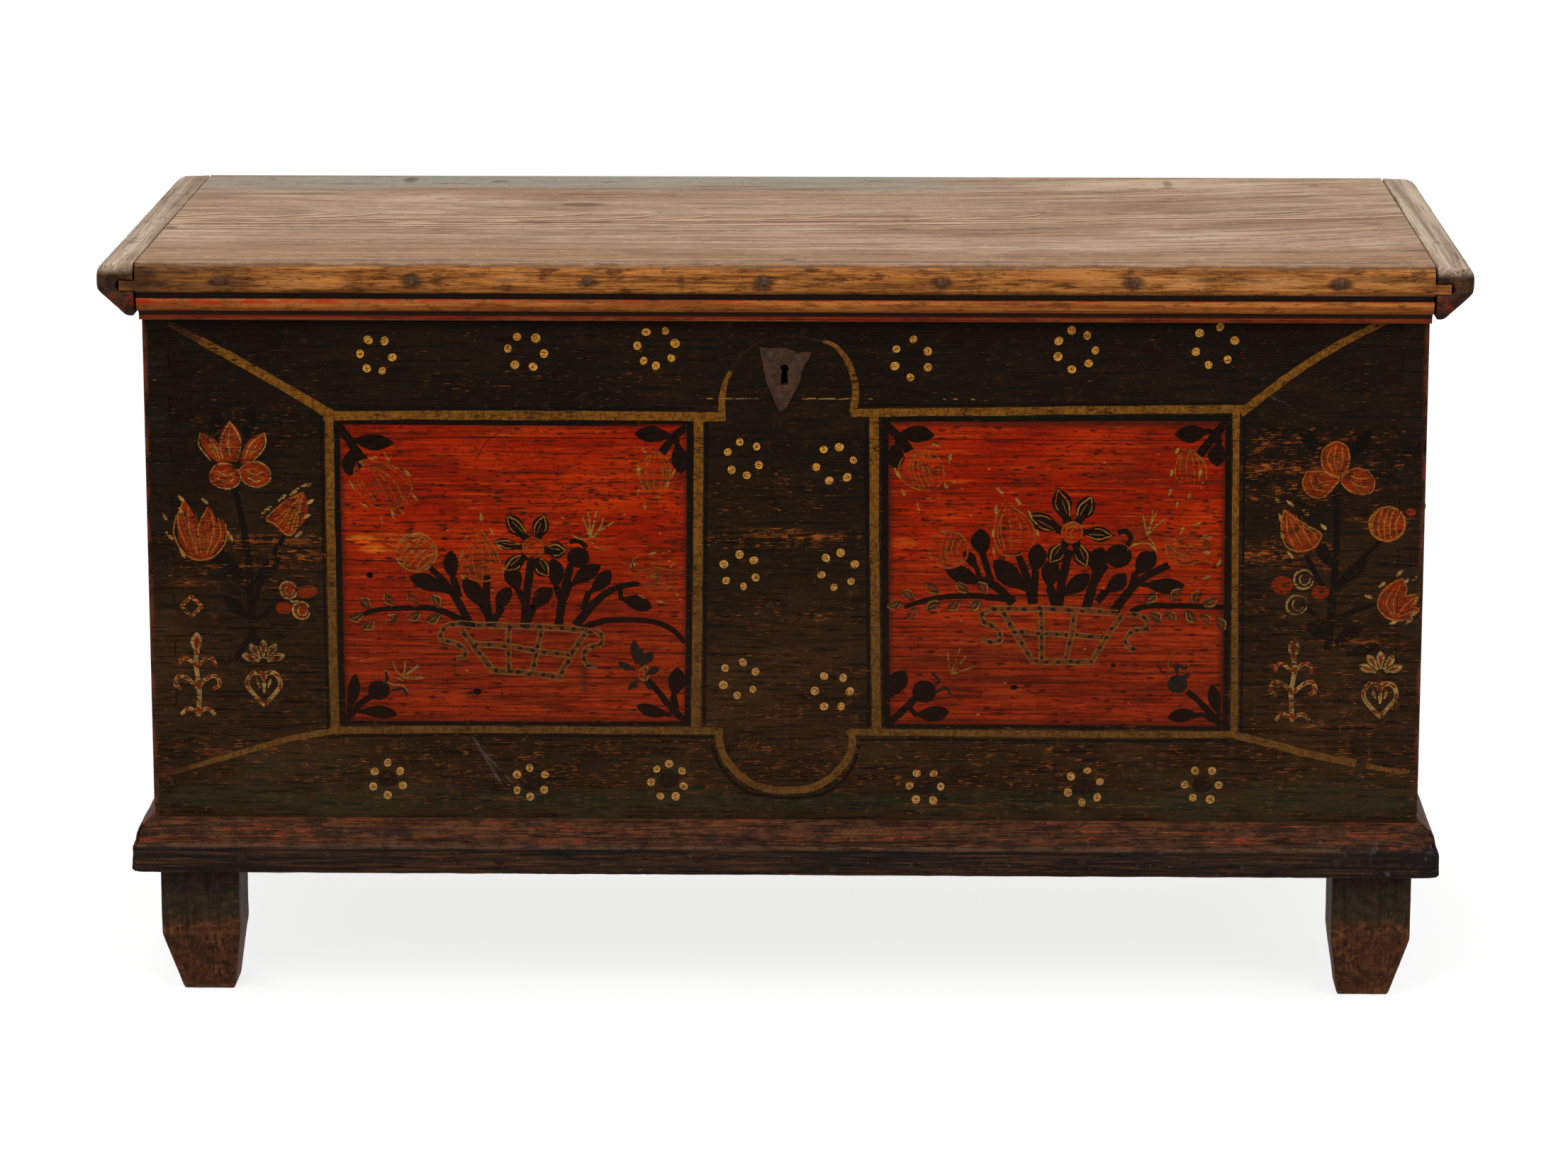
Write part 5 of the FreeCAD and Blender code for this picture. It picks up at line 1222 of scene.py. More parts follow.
# Pale leaves along the hanging branches: x, z, direction in degrees
pale_leaves = [
    (-395, 386, 140), (-373, 389, 125), (-351, 389, 130), (-328, 388, 125), (-404, 372, 190), (-392, 365, 215),
    (-371, 371, 220), (-349, 373.5, 205), (-331, 371, 200), (117, 396, 150), (139, 402, 140), (167, 403, 135),
    (187, 403, 130), (104, 386, 190), (121, 378, 225), (140, 386, 215), (160, 386, 215), (179, 386, 215),
    (345, 394, 50), (368, 397, 55), (387, 395, 60), (401, 390, 30), (350, 376, -45), (364, 377, -50), (382, 376, -50),
    (397, 374, -60), (411, 370, -60),
]
pale_length = 16
pale_width = 10
cream = Coat("cream_strokes", "cream_on_red", 0.00022)
olives = Coat("olive_leaves", "olive_on_red", 0.00019)
for number, (x, z, turn) in enumerate(pale_leaves):
    olives.disc(x, z, pale_length * 0.48, pale_width * 0.48, turn, 12)
    dx, dz = math.cos(math.radians(turn)), math.sin(math.radians(turn))
    way = 1 if number % 3 else -1
    half, aside = pale_length / 2, pale_width / 2 * way
    leaf = (x, z), (dx * half, dz * half), (-dz * aside, dx * aside)
    cream.line([spot(*leaf, -0.8, 0), spot(*leaf, 0.1, 0.9), spot(*leaf, 0.9, 0)], 1.3, 0.5)
    cream.line([spot(*leaf, -0.3, -0.2), spot(*leaf, 0.5, 0.1)], 1.5, 0.6)
    if number % 2:
        cream.line([spot(*leaf, -0.2, -1), spot(*leaf, 0.8, -0.4)], 1.0, 0.6)
olives.lay()

# Star flowers: dark petals with cream edges round a gold eye; petals as tip, base, width
star_petals = [
    ((-259, 468), (-242, 448), 12.5), ((-227, 468), (-233, 447), 13), ((-270, 445), (-245, 440), 9),
    ((-208, 437.5), (-226, 438), 12.5), ((-261, 420), (-243, 432), 12.5), ((-224, 415), (-235, 431), 14),
    ((257.5, 494), (266, 466), 15), ((286.5, 488), (275, 466), 14), ((304, 454), (279, 457), 12),
    ((283, 427), (273, 447), 14), ((251, 430), (265, 447), 14), ((232.5, 471), (261, 458), 14),
]
petal_reach = 1.16
for number, (tip, base, width) in enumerate(star_petals):
    dx, dz = (tip[0] - base[0]) * petal_reach, (tip[1] - base[1]) * petal_reach
    leafage.almond((base[0] + dx, base[1] + dz), base, width * 1.25, stem=0.5, full=0.58)
    aside = width * 0.4 / math.hypot(dx, dz) * (1 if number % 2 else -1)
    petal = base, (dx, dz), (-dz * aside, dx * aside)
    for width, taper, points in (
            (1.5, 0.4, ((0.16, 0.6), (0.55, 1), (0.97, 0))), (1.1, 0.5, ((0.97, 0), (0.62, -1), (0.4, -0.9))),
            (1.9, 0.7, ((0.25, 0.3), (0.7, 0.1)))):
        cream.line([spot(*petal, a, b) for a, b in points], width, taper)
gold = Coat("gold_strokes", "gold_on_red", 0.00021)
for x, z in ((-236.5, 440), (270, 457)):
    gold.ring(x, z, 9.5, 9.5, 1.6)
    gold.ring(x, z, 6, 5.4, 1.5, 20, 0.8)
    gold.ring(x + 1, z - 1, 3, 2.4, 1.4, 70, 0.8)


def hatched(coat, x, z, radius, turn, bow, gaps=6, width=1.5):
    """A round flower drawn as a ring with bowed strokes across it."""
    coat.ring(x, z, radius, radius * 0.97, width + 0.4)
    for i in range(1, gaps):
        off = radius * (2 * i / gaps - 1)
        half = math.sqrt(max(0.0, radius ** 2 - off ** 2)) * 0.94
        ends = [(-half, off), (0, off + bow), (half, off)]
        coat.line([turned(x, z, dx, dz, turn) for dx, dz in ends], width, 0.5)


hatched(cream, -346.5, 435, 19, 42, 4, width=1.2)
hatched(gold, -346.5, 435, 16, 48, -3, 7)
hatched(gold, 154, 440, 18.5, 88, 5, 7)
gold.line([(364, 322), (362, 334), (371, 343), (380, 336), (381, 324)], 1.1, 0.4)

# Buds, tulips and hanging flowers, drawn in gold lines
gold_paths = [
    (2.0, -286, 457, -296, 441, -304, 421, -298, 411, -285, 407.5, -272, 411, -268, 425, -275, 443, -286, 457),
    (1.5, -287, 450, -294, 430, -290, 412), (1.5, -285.5, 449, -284, 430, -284, 411),
    (1.5, -284, 449, -277, 431, -277, 412), (1.3, -289, 446, -299, 426, -296, 413),
    (1.3, -282, 446, -272, 428, -272, 414),
    (1.7, -404, 516, -402, 496, -389, 481, -372, 476, -358, 482, -350, 497, -359, 512, -379, 524),
    (1.6, -402, 521, -396, 501, -384, 484), (1.6, -400, 522, -383, 506, -372, 483),
    (1.6, -398, 523, -371, 508, -358, 487), (1.6, -396, 524, -372, 518, -352, 499),
    (1.4, -403, 518, -400, 500, -392, 488), (1.4, -399, 522, -378, 508, -364, 484),
    (1.8, -121, 533, -131, 524, -136, 509, -131, 496, -122, 493, -112, 499, -107, 514, -111, 527, -121, 533),
    (1.5, -124, 530, -130, 514, -127, 497), (1.5, -121, 531, -122.5, 514, -122, 496),
    (1.5, -118, 530, -114, 515, -116, 498), (1.3, -116, 529, -110, 516, -112, 502),
    (2.0, 207.5, 488, 199, 472, 196.5, 452, 203, 437, 214, 434, 227, 438, 235, 450, 233, 463, 225, 473, 212, 482),
    (1.6, 208, 482, 203, 462, 207, 439), (1.5, 211, 480, 212, 460, 213, 438), (1.5, 216, 477, 222, 459, 219, 439),
    (1.5, 220, 474, 230, 458, 225, 442), (1.4, 206, 478, 200, 458, 203, 443),
    (1.5, 209, 466, 216, 470, 222, 462, 219, 450, 210, 448),
    (1.8, 121, 536, 111, 528, 107, 515, 113, 503, 127, 497, 141, 498, 149, 509, 147, 523, 137, 533, 121, 536),
    (1.5, 123, 534, 116, 518, 123, 500), (1.5, 126, 534, 125, 516, 131, 499), (1.5, 129, 533, 135, 516, 140, 500),
    (1.5, 133, 532, 143, 520, 145, 506), (1.4, 124, 535, 120, 517, 127, 499), (1.4, 128, 534, 130, 516, 136, 499),
    (1.6, 376, 538, 368, 527, 366, 512, 372, 504), (1.5, 379, 537, 376, 520, 378, 504),
    (1.5, 382, 536, 388, 522, 388, 506), (1.6, 384, 534, 394, 521, 395, 508), (1.3, 373, 537, 370, 518, 374, 505),
    (1.3, 380, 536, 383, 520, 384, 505), (1.8, 357, 451, 359, 438, 366, 428, 380, 426, 394, 431, 402, 426),
    (1.6, 358, 452, 370, 450, 383, 457), (1.5, 360, 446, 372, 436, 384, 434), (1.5, 362, 451, 376, 443, 389, 447),
    (1.4, 366, 434, 376, 430, 386, 430), (1.8, -142, 412, -133, 419, -117, 421, -101, 417),
    (1.6, -140, 411, -122, 412, -104, 410), (1.8, -139, 409, -128, 404, -114, 406, -102, 400, -99, 392),
    (1.4, -136, 410, -120, 416), (1.6, -137, 405, -124, 397, -116, 398, -106, 403),
    (1.5, -141, 415, -143, 428, -134, 434), (1.6, -128, 424, -115, 428),
]
gold.lines(gold_paths, share=0.86, taper=0.35)
washes = Coat("bud_washes", "wash_on_red", 0.00014)
for width, path in runs(gold_paths):
    if path[0] == path[-1]:
        washes.patch(flow(path[:-1] + path[:1], 3)[:-1])
washes.discs([
    (-378, 501, 29, 17, -42), (381, 521, 13, 17, 0), (378, 441, 21, 13, 12), (-121, 408, 20, 12, 4),
    (-346.5, 435, 19, 18.5, 0), (154, 440, 18.5, 18, 0), (371, 312, 9.5, 9.5, 0),
], 22)
washes.lay()
cream_dashes = [
    (-285, 469, 9, -75), (-275, 455, 10, -62), (-269, 442, 11, -68), (-299, 450, 9, 60), (-304, 432, 10, 72),
    (-265, 419, 10, 70), (-303, 412, 8, -50), (-406, 499, 11, -58), (-373, 526, 10, -50), (-354, 511, 11, -40),
    (-357, 486, 9, -48), (-347, 488, 10, -60), (-395, 480, 9, -40), (-379, 466, 9, -60), (-360, 474, 9, -45),
    (-368, 471, 10, -75), (-386, 525, 9, 8), (-132, 534, 8, -70), (-137.5, 515, 9, 85), (-137.5, 494, 8, 80),
    (-131, 480, 9, 78), (-119, 489, 9, 70), (-110, 500, 8, 60), (-104, 512, 9, 65), (-143, 423, 9, 35),
    (-124, 435, 8, 30), (-111, 436.5, 10, 22), (-105, 424, 9, 40), (-97, 421, 9, -15), (-116, 388, 9, -20),
    (-134, 393, 9, -30), (-99, 393, 10, -60), (202.5, 496, 10, -48), (219, 486, 9, -55), (230.5, 474, 10, -60),
    (198.5, 478, 10, -82), (196, 455, 10, -86), (197, 437, 10, -80), (238, 456, 8, -75), (142, 539.5, 9, -30),
    (106, 512.5, 11, -72), (112, 493.5, 11, -60), (136, 487.5, 8, -35), (145, 490.5, 8, 80), (151.5, 500.5, 9, -70),
    (125.5, 479.5, 12, -70), (158, 505, 8, -15), (155, 527, 10, 80), (367.5, 535, 9, 70), (362.5, 514, 9, 80),
    (361, 496, 10, 82), (368, 484, 8, 75), (379, 492, 8, 70), (391, 502.5, 8, 60), (389, 514, 8, 70),
    (387, 465, 9, 25), (394, 453, 8, 20), (373, 459, 9, 60), (397, 438, 9, 15), (383, 412, 9, 30), (397, 414, 9, 20),
    (408, 428, 8, 70), (399, 452, 8, 5),
]
hand = random.Random(29)
for x, z, length, turn in cream_dashes:
    cream.dashes([(x, z, length * hand.uniform(0.75, 1.1), turn + hand.uniform(-12, 12))], hand.uniform(2.2, 3.5))
cream_paths = [
    (2.0, -183, 449, -186, 460, -190, 470), (2.0, -182.5, 450, -183, 464, -184.5, 475),
    (2.0, -182, 450, -179, 464, -176, 477), (1.8, -181, 450, -174, 458, -170, 470),
    (2.0, -180, 450, -171, 458, -160, 465), (1.8, -184, 448, -193, 449, -200, 452),
    (1.5, -183, 448, -177, 441, -168, 438), (1.8, 340, 454, 338, 466, 336, 474), (2.0, 340, 455, 344, 466, 350, 478),
    (2.0, 341, 455, 349, 464, 357, 470), (1.8, 341, 454, 345, 470, 345, 478),
    (2.2, 322, 440, 330, 446, 342, 446, 350, 438), (1.6, 341, 453, 346, 447, 349, 440),
    (1.8, -362, 315, -359, 323, -358, 330), (1.8, -361, 315, -352, 320, -345, 325),
    (1.6, -361, 314, -350, 315, -339, 314), (1.5, -362, 314, -368, 322, -370, 330),
    (1.8, 157, 320, 155, 332, 154, 343), (1.8, 157, 320, 162, 333, 166, 345), (1.8, 158, 320, 165, 329, 172, 338),
    (1.8, 158, 319, 168, 323, 178, 326), (1.6, -128, 319, -130, 326, -136, 323, -137, 315, -131, 312, -127, 317),
    (1.3, -134, 324, -133, 317, -135, 312), (1.3, -130, 325, -129, 318, -131, 312),
    (1.7, -379, 310, -370, 307, -362, 306, -357, 301), (1.4, -380, 321, -374, 319, -371, 312),
    (1.6, -373, 315, -366, 313, -360, 310), (1.6, -360, 329, -359, 322, -362, 316),
    (1.8, -347, 326, -354, 320, -361, 316), (1.8, -341, 313, -350, 313, -361, 313),
]
cream.lines(cream_paths, share=0.85, taper=0.5)

# Baskets: straps of two gold-brown lines with dark checks between them, and scrolled handles
basket_straps = [
    (5.5, -311, 366.5, -288, 365, -244, 364, -210, 362.5, -181, 359), (5.5, -305, 361, -291, 341, -275.5, 321),
    (5.5, -186, 360, -197, 344, -205, 330, -213, 316), (5.5, -280, 321.5, -255, 320, -233, 317.5, -208.5, 314),
    (5, -259.7, 367, -261, 346, -260.7, 321), (5, -229, 363, -233, 344, -238.5, 321),
    (5, -294, 347, -259.5, 344.5, -233, 340, -201, 336),
    (4.5, -306, 366, -317, 365, -324, 358, -323, 351, -313, 348, -303, 342, -302, 335, -311, 333),
    (4.5, -179, 361, -172.5, 355, -174, 347, -185, 344, -190, 336, -186, 327, -177, 325.5),
    (5.5, 193, 383, 233.5, 383, 274, 382, 314, 379), (5.5, 204, 383, 217.5, 360, 234, 333),
    (5, 242, 384, 242.5, 360, 243, 333), (5, 273, 379, 271, 360, 265.5, 333),
    (5, 216, 361, 243, 359.5, 270, 358, 305, 355), (5.5, 232, 333, 258, 332, 293, 332),
    (5, 318.5, 378, 306.5, 360.5, 290, 333),
    (4.5, 193, 381.5, 186, 377.5, 188, 370, 199, 365, 204, 354, 195, 350.5, 186, 353.5),
    (4.5, 322.5, 378, 334.5, 377, 341.5, 371, 340, 364, 329, 362.5, 321.5, 354, 325, 346, 331, 344),
]
hand = random.Random(5)
check_pitch = 8.5
checks = Coat("basket_checks", "brown_on_red", 0.00024)
straps = Coat("basket_straps", "strap_on_red", 0.00015)
strap_lines = Coat("basket_lines", "strap_line", 0.00022)
for across, path in runs(basket_straps):
    walk = flow(path, 6)
    straps.line(path, across)
    for way in (1, -1):
        edge = []
        for i, (x, z) in enumerate(walk):
            before, after = walk[max(0, i - 1)], walk[min(len(walk) - 1, i + 1)]
            dx, dz = after[0] - before[0], after[1] - before[1]
            size = math.hypot(dx, dz)
            edge.append((x - dz / size * across / 2 * way, z + dx / size * across / 2 * way))
        strap_lines.line(edge, 1.15, 0.15, smooth=False)
    gone = 0.0
    for (x, z), (ahead_x, ahead_z) in zip(walk, walk[1:]):
        gone += math.hypot(ahead_x - x, ahead_z - z)
        if gone > check_pitch:
            gone = hand.uniform(-2.5, 2.5)
            turn = math.degrees(math.atan2(ahead_z - z, ahead_x - x))
            checks.disc(x + hand.uniform(-0.8, 0.8), z + hand.uniform(-0.8, 0.8), hand.uniform(1.6, 2.7),
                        hand.uniform(1.3, 2.1), turn + hand.uniform(-30, 30), 9)
straps.lay()
strap_lines.lay()
# Small dark hooks and petals at the corner flowers
checks.lines([
    (2.6, -378, 320, -376, 312, -381, 306), (2.6, -372, 301, -361, 303, -358, 296),
    (2.6, 140, 308, 146, 313, 139, 321), (2.6, 141, 301, 152, 306, 157, 300), (2.8, 372, 330, 376, 326, 381, 328),
    (1.2, 362, 318, 355, 324, 352, 331),
], taper=0.5)
checks.almonds([
    ((-142, 352), (-140, 328), 9), ((-124, 340), (-136, 326), 9.5), ((-158, 329), (-141, 322), 6.5),
    ((-118, 325), (-131, 318), 7), ((-148, 303), (-138, 313), 5.5), ((-126, 303), (-132, 312), 4.5),
    ((-134, 344), (-138, 328), 5), ((383, 322), (374, 314), 5), ((369, 332), (371, 320), 4.5),
], stem=0.4, full=0.55)
checks.disc(371, 311, 9.5, 9)
for low_z, bow in ((306, -3), (311, -3.5), (316, -3)):
    cream.line([(364, low_z), (370, low_z + bow), (378, low_z + 1)], 2.2, 0.5)
checks.lay()
gold.lay()
cream.lay()

# Knots and hairline cracks
cracks = Coat("cracks", "crack_dark", 0.00026)
cracks.discs([(-291, 301, 4.0, 3.0), (217, 307, 3.0, 2.4), (310, 329, 2.4, 1.8), (-391, 413, 3.0, 2.8)])
cracks.lines([
    (0.9, 160, 397, 230, 396, 310, 397, 420, 398), (0.7, -420, 428, -392, 427, -360, 427),
    (0.7, -300, 433, -240, 434, -190, 433), (0.8, -418, 558, -250, 557.5, -100, 557),
    (0.5, -600, 545.2, -300, 545, 0, 545.1, 300, 545, 599, 545.2), (0.6, -265, 552, -280, 540, -291, 522),
    (0.8, -352, 552, -346, 536), (0.5, -318, 305, -290, 303, -262, 305),
], taper=0.7)
# Joint lines of the side boards' tails at the front corners: middle height and how tall
tail_marks = [(620, 17), (576, 15), (528, 13), (482, 15), (434, 15), (388, 14), (341, 14), (294, 14)]
for side in (-1, 1):
    for z, tall in tail_marks:
        x = side * 576
        cracks.line([(x, z + tall / 2), (x + side * 0.3, z), (x, z - tall / 2)], 0.7, 0.3)
        cracks.line([(x, z + tall / 2), (side * 598.5, z + tall / 2 + 1)], 0.45, 0.5)
        cracks.line([(x, z - tall / 2), (side * 598.5, z - tall / 2 - 1)], 0.45, 0.5)
cracks.lay()

# Side fields: flowers on the dark ground
petals = Coat("red_petals", "petal_red", 0.0002)
petals.almonds([
    ((-520, 560), (-519, 521), 21), ((-548, 549), (-526, 520), 15), ((-488, 549), (-509, 520), 15),
    ((-452, 493), (-470, 452), 24),
], stem=0.6, full=0.5)
petals.discs([
    (-526, 507.5, 15, 12.5, 10), (-498, 509, 15, 12, -10), (-450, 396.5, 10, 6, 10), (-472, 381, 8.5, 6, 0),
    (-468, 398, 6.5, 7, 0), (-456, 378.5, 6.5, 7, 0), (515.7, 528, 12.5, 17, 0), (501, 505, 17, 13, 20),
    (536, 507, 15.5, 12, -20), (565, 466, 18, 17.5, 0), (587, 477, 4.5, 4, 0), (468, 407, 10, 9, 0),
    (504, 400, 8, 7, 0),
], 22)
for tip, base, width, stem, full, bend in [
    ((-453, 490), (-482, 462), 17, 0.7, 0.45, 0), ((-456, 486), (-470, 455), 20, 0.8, 0.45, 0),
    ((-571, 472), (-554, 428), 16, 0.7, 0.42, 0), ((-566, 486), (-552, 428), 17, 0.6, 0.42, 0),
    ((-541, 479), (-545, 428), 19, 0.6, 0.45, 0), ((-528, 466), (-548, 428), 18, 0.6, 0.5, 0),
    ((468, 480), (487, 441), 22, 0.7, 0.4, 0), ((503, 457), (484, 441), 17, 0.7, 0.5, 0),
    ((581, 415), (571, 375), 25, 0.7, 0.42, 5), ((597.5, 400), (572, 376), 17, 0.8, 0.45, 0),
    ((597.5, 385), (570, 378), 15, 0.9, 0.5, 0),
]:
    petals.almond(tip, base, width, stem, full, bend)
petals.lay()

gold_side = Coat("gold_side_strokes", "gold_on_ground", 0.00024)
gold_side_paths = [
    (1.8, -572, 470, -575, 452, -566, 434, -552, 427, -537, 431, -526, 446, -526, 462),
    (1.6, -566, 482, -571, 462, -562, 438), (1.6, -561, 478, -560, 456, -553, 432),
    (1.6, -543, 478, -552, 456, -549, 432), (1.6, -540, 474, -537, 454, -545, 432),
    (1.6, -533, 468, -531, 450, -541, 433),
    (1.8, -452, 492, -471, 482, -487, 467, -478, 461, -468, 451, -460, 456, -457, 470, -452, 492),
    (1.5, -455, 486, -470, 474, -480, 465), (1.5, -454, 485, -464, 468, -470, 456),
    (1.5, -454, 484, -460, 468, -464, 455), (1.3, -456, 488, -468, 472, -476, 461),
    (1.8, 468, 479, 466, 462, 470, 446, 480, 440, 495, 442, 504, 455, 492, 463, 480, 470, 468, 479),
    (1.5, 471, 473, 472, 458, 478, 444), (1.5, 474, 471, 479, 458, 486, 445), (1.5, 479, 468, 488, 458, 494, 447),
    (1.3, 484, 465, 494, 459, 500, 452),
    (1.8, 515.7, 545, 504, 537, 503, 522, 512, 512, 521, 512, 528, 524, 526, 539, 515.7, 545),
    (1.4, 512, 539, 508, 528, 513, 516), (1.4, 516, 541, 514, 528, 517, 515), (1.4, 521, 538, 522, 527, 519, 516),
    (1.7, 489, 516, 485, 505, 492, 493, 504, 491, 513, 500, 519, 509, 508, 515, 489, 516),
    (1.4, 492, 511, 496, 500, 506, 497), (1.4, 498, 512, 502, 505, 511, 503),
    (1.7, 546, 517, 552, 507, 549, 496, 534, 495, 522, 504, 523, 512, 534, 519, 546, 517),
    (1.4, 529, 508, 538, 502, 547, 502), (1.4, 530, 512, 540, 509, 548, 511),
]
gold_side.lines(gold_side_paths, share=0.85, taper=0.4)
# Dry brush strokes over the petals: from, to, how wide they spread, how many
petal_strokes = [
    ((-519, 524), (-520, 556), 15, 9), ((-528, 524), (-545, 544), 9, 6), ((-509, 524), (-490, 544), 9, 6),
    ((-552, 432), (-561, 478), 16, 8), ((-546, 432), (-539, 470), 16, 8), ((-468, 455), (-457, 486), 18, 9),
    ((484, 444), (474, 474), 20, 9), ((488, 446), (502, 456), 14, 5), ((515, 514), (516, 542), 17, 8),
    ((492, 502), (512, 508), 16, 6), ((527, 508), (547, 504), 14, 6), ((567, 379), (578, 409), 19, 8),
    ((-538, 508), (-515, 507), 12, 5), ((-509, 509), (-487, 509), 12, 5), ((556, 458), (574, 472), 18, 7),
]
hand = random.Random(41)
for (x0, z0), (x1, z1), spread, count in petal_strokes:
    size = math.hypot(x1 - x0, z1 - z0)
    nx, nz = -(z1 - z0) / size, (x1 - x0) / size
    for i in range(count):
        off = spread * (i / (count - 1) - 0.5) + hand.uniform(-1, 1)
        a, b = hand.uniform(0.0, 0.25), hand.uniform(0.55, 0.95)
        gold_side.line([(x0 + (x1 - x0) * a + nx * off * 0.7, z0 + (z1 - z0) * a + nz * off * 0.7),
                        (x0 + (x1 - x0) * b + nx * off, z0 + (z1 - z0) * b + nz * off)],
                       hand.uniform(0.7, 1.3), 0.7, smooth=False)
hatched(gold_side, 565, 466, 16.5, 85, 3, 6)
gold_side.lines([
    (1.6, 581, 414, 571, 409, 561, 399, 558, 388, 563, 379, 572, 374, 584, 374, 594, 380, 597, 385),
    (1.4, 581, 414, 585, 404, 584, 397, 590, 398, 597, 400), (1.3, 597, 399, 594, 391, 589, 387, 597, 385),
    (1.3, 573, 377, 566, 390, 573, 404), (1.3, 574, 377, 573, 392, 579, 408), (1.3, 576, 378, 584, 388, 593, 397),
    (1.2, 577, 377, 586, 380, 594, 384),
], taper=0.45)
gold_side.lay()

# Cream strokes on the ground, with the hearts, lozenges and sprigs of the side fields
pale = Coat("cream_side_strokes", "cream_on_ground", 0.00023)
pale_dashes = [
    (-583, 468, 8, -60), (-579, 450, 11, -50), (-567, 433, 11, -58), (-567, 485, 9, -50), (-567, 473, 9, -60),
    (-545, 483, 8, -45), (-522, 450, 12, -62), (-487, 475, 12, 38), (-472, 487, 10, 38), (-460, 493, 12, 40),
    (-449, 499, 11, 15), (-446, 483, 10, 30), (-450, 469, 10, 30), (-457, 452, 9, 40), (462, 488, 6, -40),
    (474, 485, 9, -40), (489, 476, 9, -50), (505.5, 463, 8, -45), (465, 471.5, 9, -70), (467, 454, 9, -75),
    (475, 436, 9, -50), (562, 408, 8, 40), (578, 419, 8, 45), (584, 411, 8, 60), (592, 414, 7, 30),
    (550, 396, 9, -20), (573, 371, 8, 20), (588, 373, 9, 40), (592, 380, 8, 30), (594, 394, 7, 60),
]
pale.dashes(pale_dashes, 3.4)
pale_paths = [
    (1.8, -520, 560, -529, 541, -527, 524), (1.8, -520, 560, -510, 541, -513, 524),
    (1.6, -521, 550, -522, 536, -520, 526), (1.8, -548, 549, -549, 536, -538, 522),
    (1.6, -546, 548, -535, 538, -530, 524), (1.8, -488, 549, -487, 536, -500, 521),
    (1.6, -489, 548, -501, 538, -507, 524), (1.4, -540, 538, -533, 526), (1.4, -495, 538, -502, 527),
    (1.7, -540, 508, -536, 499, -524, 495, -513, 500, -511, 511, -521, 519, -534, 518, -540, 508),
    (1.7, -512, 512, -507, 501, -495, 497, -484, 503, -484, 514, -494, 521, -506, 519, -512, 512),
    (1.5, -532, 512, -524, 508, -516, 511), (1.5, -533, 506, -525, 501, -517, 505),
    (1.5, -505, 513, -497, 509, -489, 512), (1.5, -504, 506, -496, 502, -489, 506),
]
pale.lines(pale_paths, share=0.75, taper=0.3)
for x, z, across, high in ((-468, 398, 7.5, 8.5), (-456, 378.5, 8, 8.5), (488, 412.5, 9, 9), (482, 388, 10, 9)):
    pale.ring(x, z, across, high, 2.2, 25, 0.9)
    pale.ring(x + 1, z, across * 0.55, high * 0.55, 1.6, 120, 0.7)
pale.line([(-470, 391), (-464, 387), (-459, 388)], 2.4, 0.3)
ticks = Coat("red_ticks", "petal_red", 0.00027)


def ticked(points, width, closed=False):
    """A cream line with short red touches along it."""
    pale.line(points, width, 0.15, closed)
    walk = flow(points + [points[0]] if closed else points, 6)
    for i in range(2, len(walk) - 1, 5):
        (x, z), (ahead_x, ahead_z) = walk[i], walk[i + 1]
        turn = math.degrees(math.atan2(ahead_z - z, ahead_x - x)) + 25
        ticks.dashes([(x, z, 7, turn)], 2.6)


def heart(x, z, size):
    """A heart outline with three strokes inside."""
    ticked([(x, z - size), (x - size * 0.85, z + size * 0.05), (x - size * 0.62, z + size * 0.72),
            (x - size * 0.12, z + size * 0.72), (x, z + size * 0.42), (x + size * 0.12, z + size * 0.72),
            (x + size * 0.62, z + size * 0.72), (x + size * 0.85, z + size * 0.05)], 4.6, True)
    pale.dashes([(x, z + size * 0.05, size * 0.7, 90)], 4)
    for dx in (-0.3, 0.3):
        pale.dashes([(x + size * dx, z + size * 0.2, size * 0.5, 90 - dx * 60)], 3)


def lozenge(x, z, across, high):
    """A diamond of four strokes."""
    corners = [(x, z + high), (x + across, z), (x, z - high), (x - across, z)]
    for a, b in zip(corners, corners[1:] + corners[:1]):
        ticked([a, ((a[0] + b[0]) / 2, (a[1] + b[1]) / 2), b], 3.6)


def fan(x, z, reach):
    """Five petals spread upwards from a point."""
    for turn in (20, 55, 90, 125, 160):
        dx, dz = math.cos(math.radians(turn)) * reach, math.sin(math.radians(turn)) * reach
        pale.almond((x + dx, z + dz), (x + dx * 0.2, z + dz * 0.2), reach * 0.36, stem=0.4, full=0.62)
        ticks.almond((x + dx * 0.8, z + dz * 0.8), (x + dx * 0.4, z + dz * 0.4), reach * 0.12, stem=0.5)


def sprig(x, z, way):
    """An upright sprig with a bud on top and two pairs of curling leaves."""
    ticked([(x, z - 38), (x + way * 1.5, z - 12), (x - way, z + 12), (x, z + 26)], 4.6)
    pale.almond((x, z + 44), (x, z + 24), 11, stem=0.5)
    ticks.almond((x, z + 40), (x, z + 28), 5, stem=0.5)
    for side in (-1, 1):
        ticked([(x, z - 10), (x + side * 9, z - 1), (x + side * 18, z + 1), (x + side * 21, z - 7),
                (x + side * 15, z - 11)], 4.0)
        ticked([(x, z + 10), (x + side * 8, z + 18), (x + side * 15, z + 18), (x + side * 17, z + 12)], 3.6)
        ticked([(x, z - 34), (x + side * 9, z - 30), (x + side * 16, z - 36)], 3.8)


lozenge(-560, 382, 10, 10)
sprig(-556, 313, 1)
heart(-493, 304, 18)
fan(-493, 328, 22)
sprig(480, 312, -1)
heart(562, 298, 18)
fan(562, 322, 22)
pale.lay()
ticks.lay()

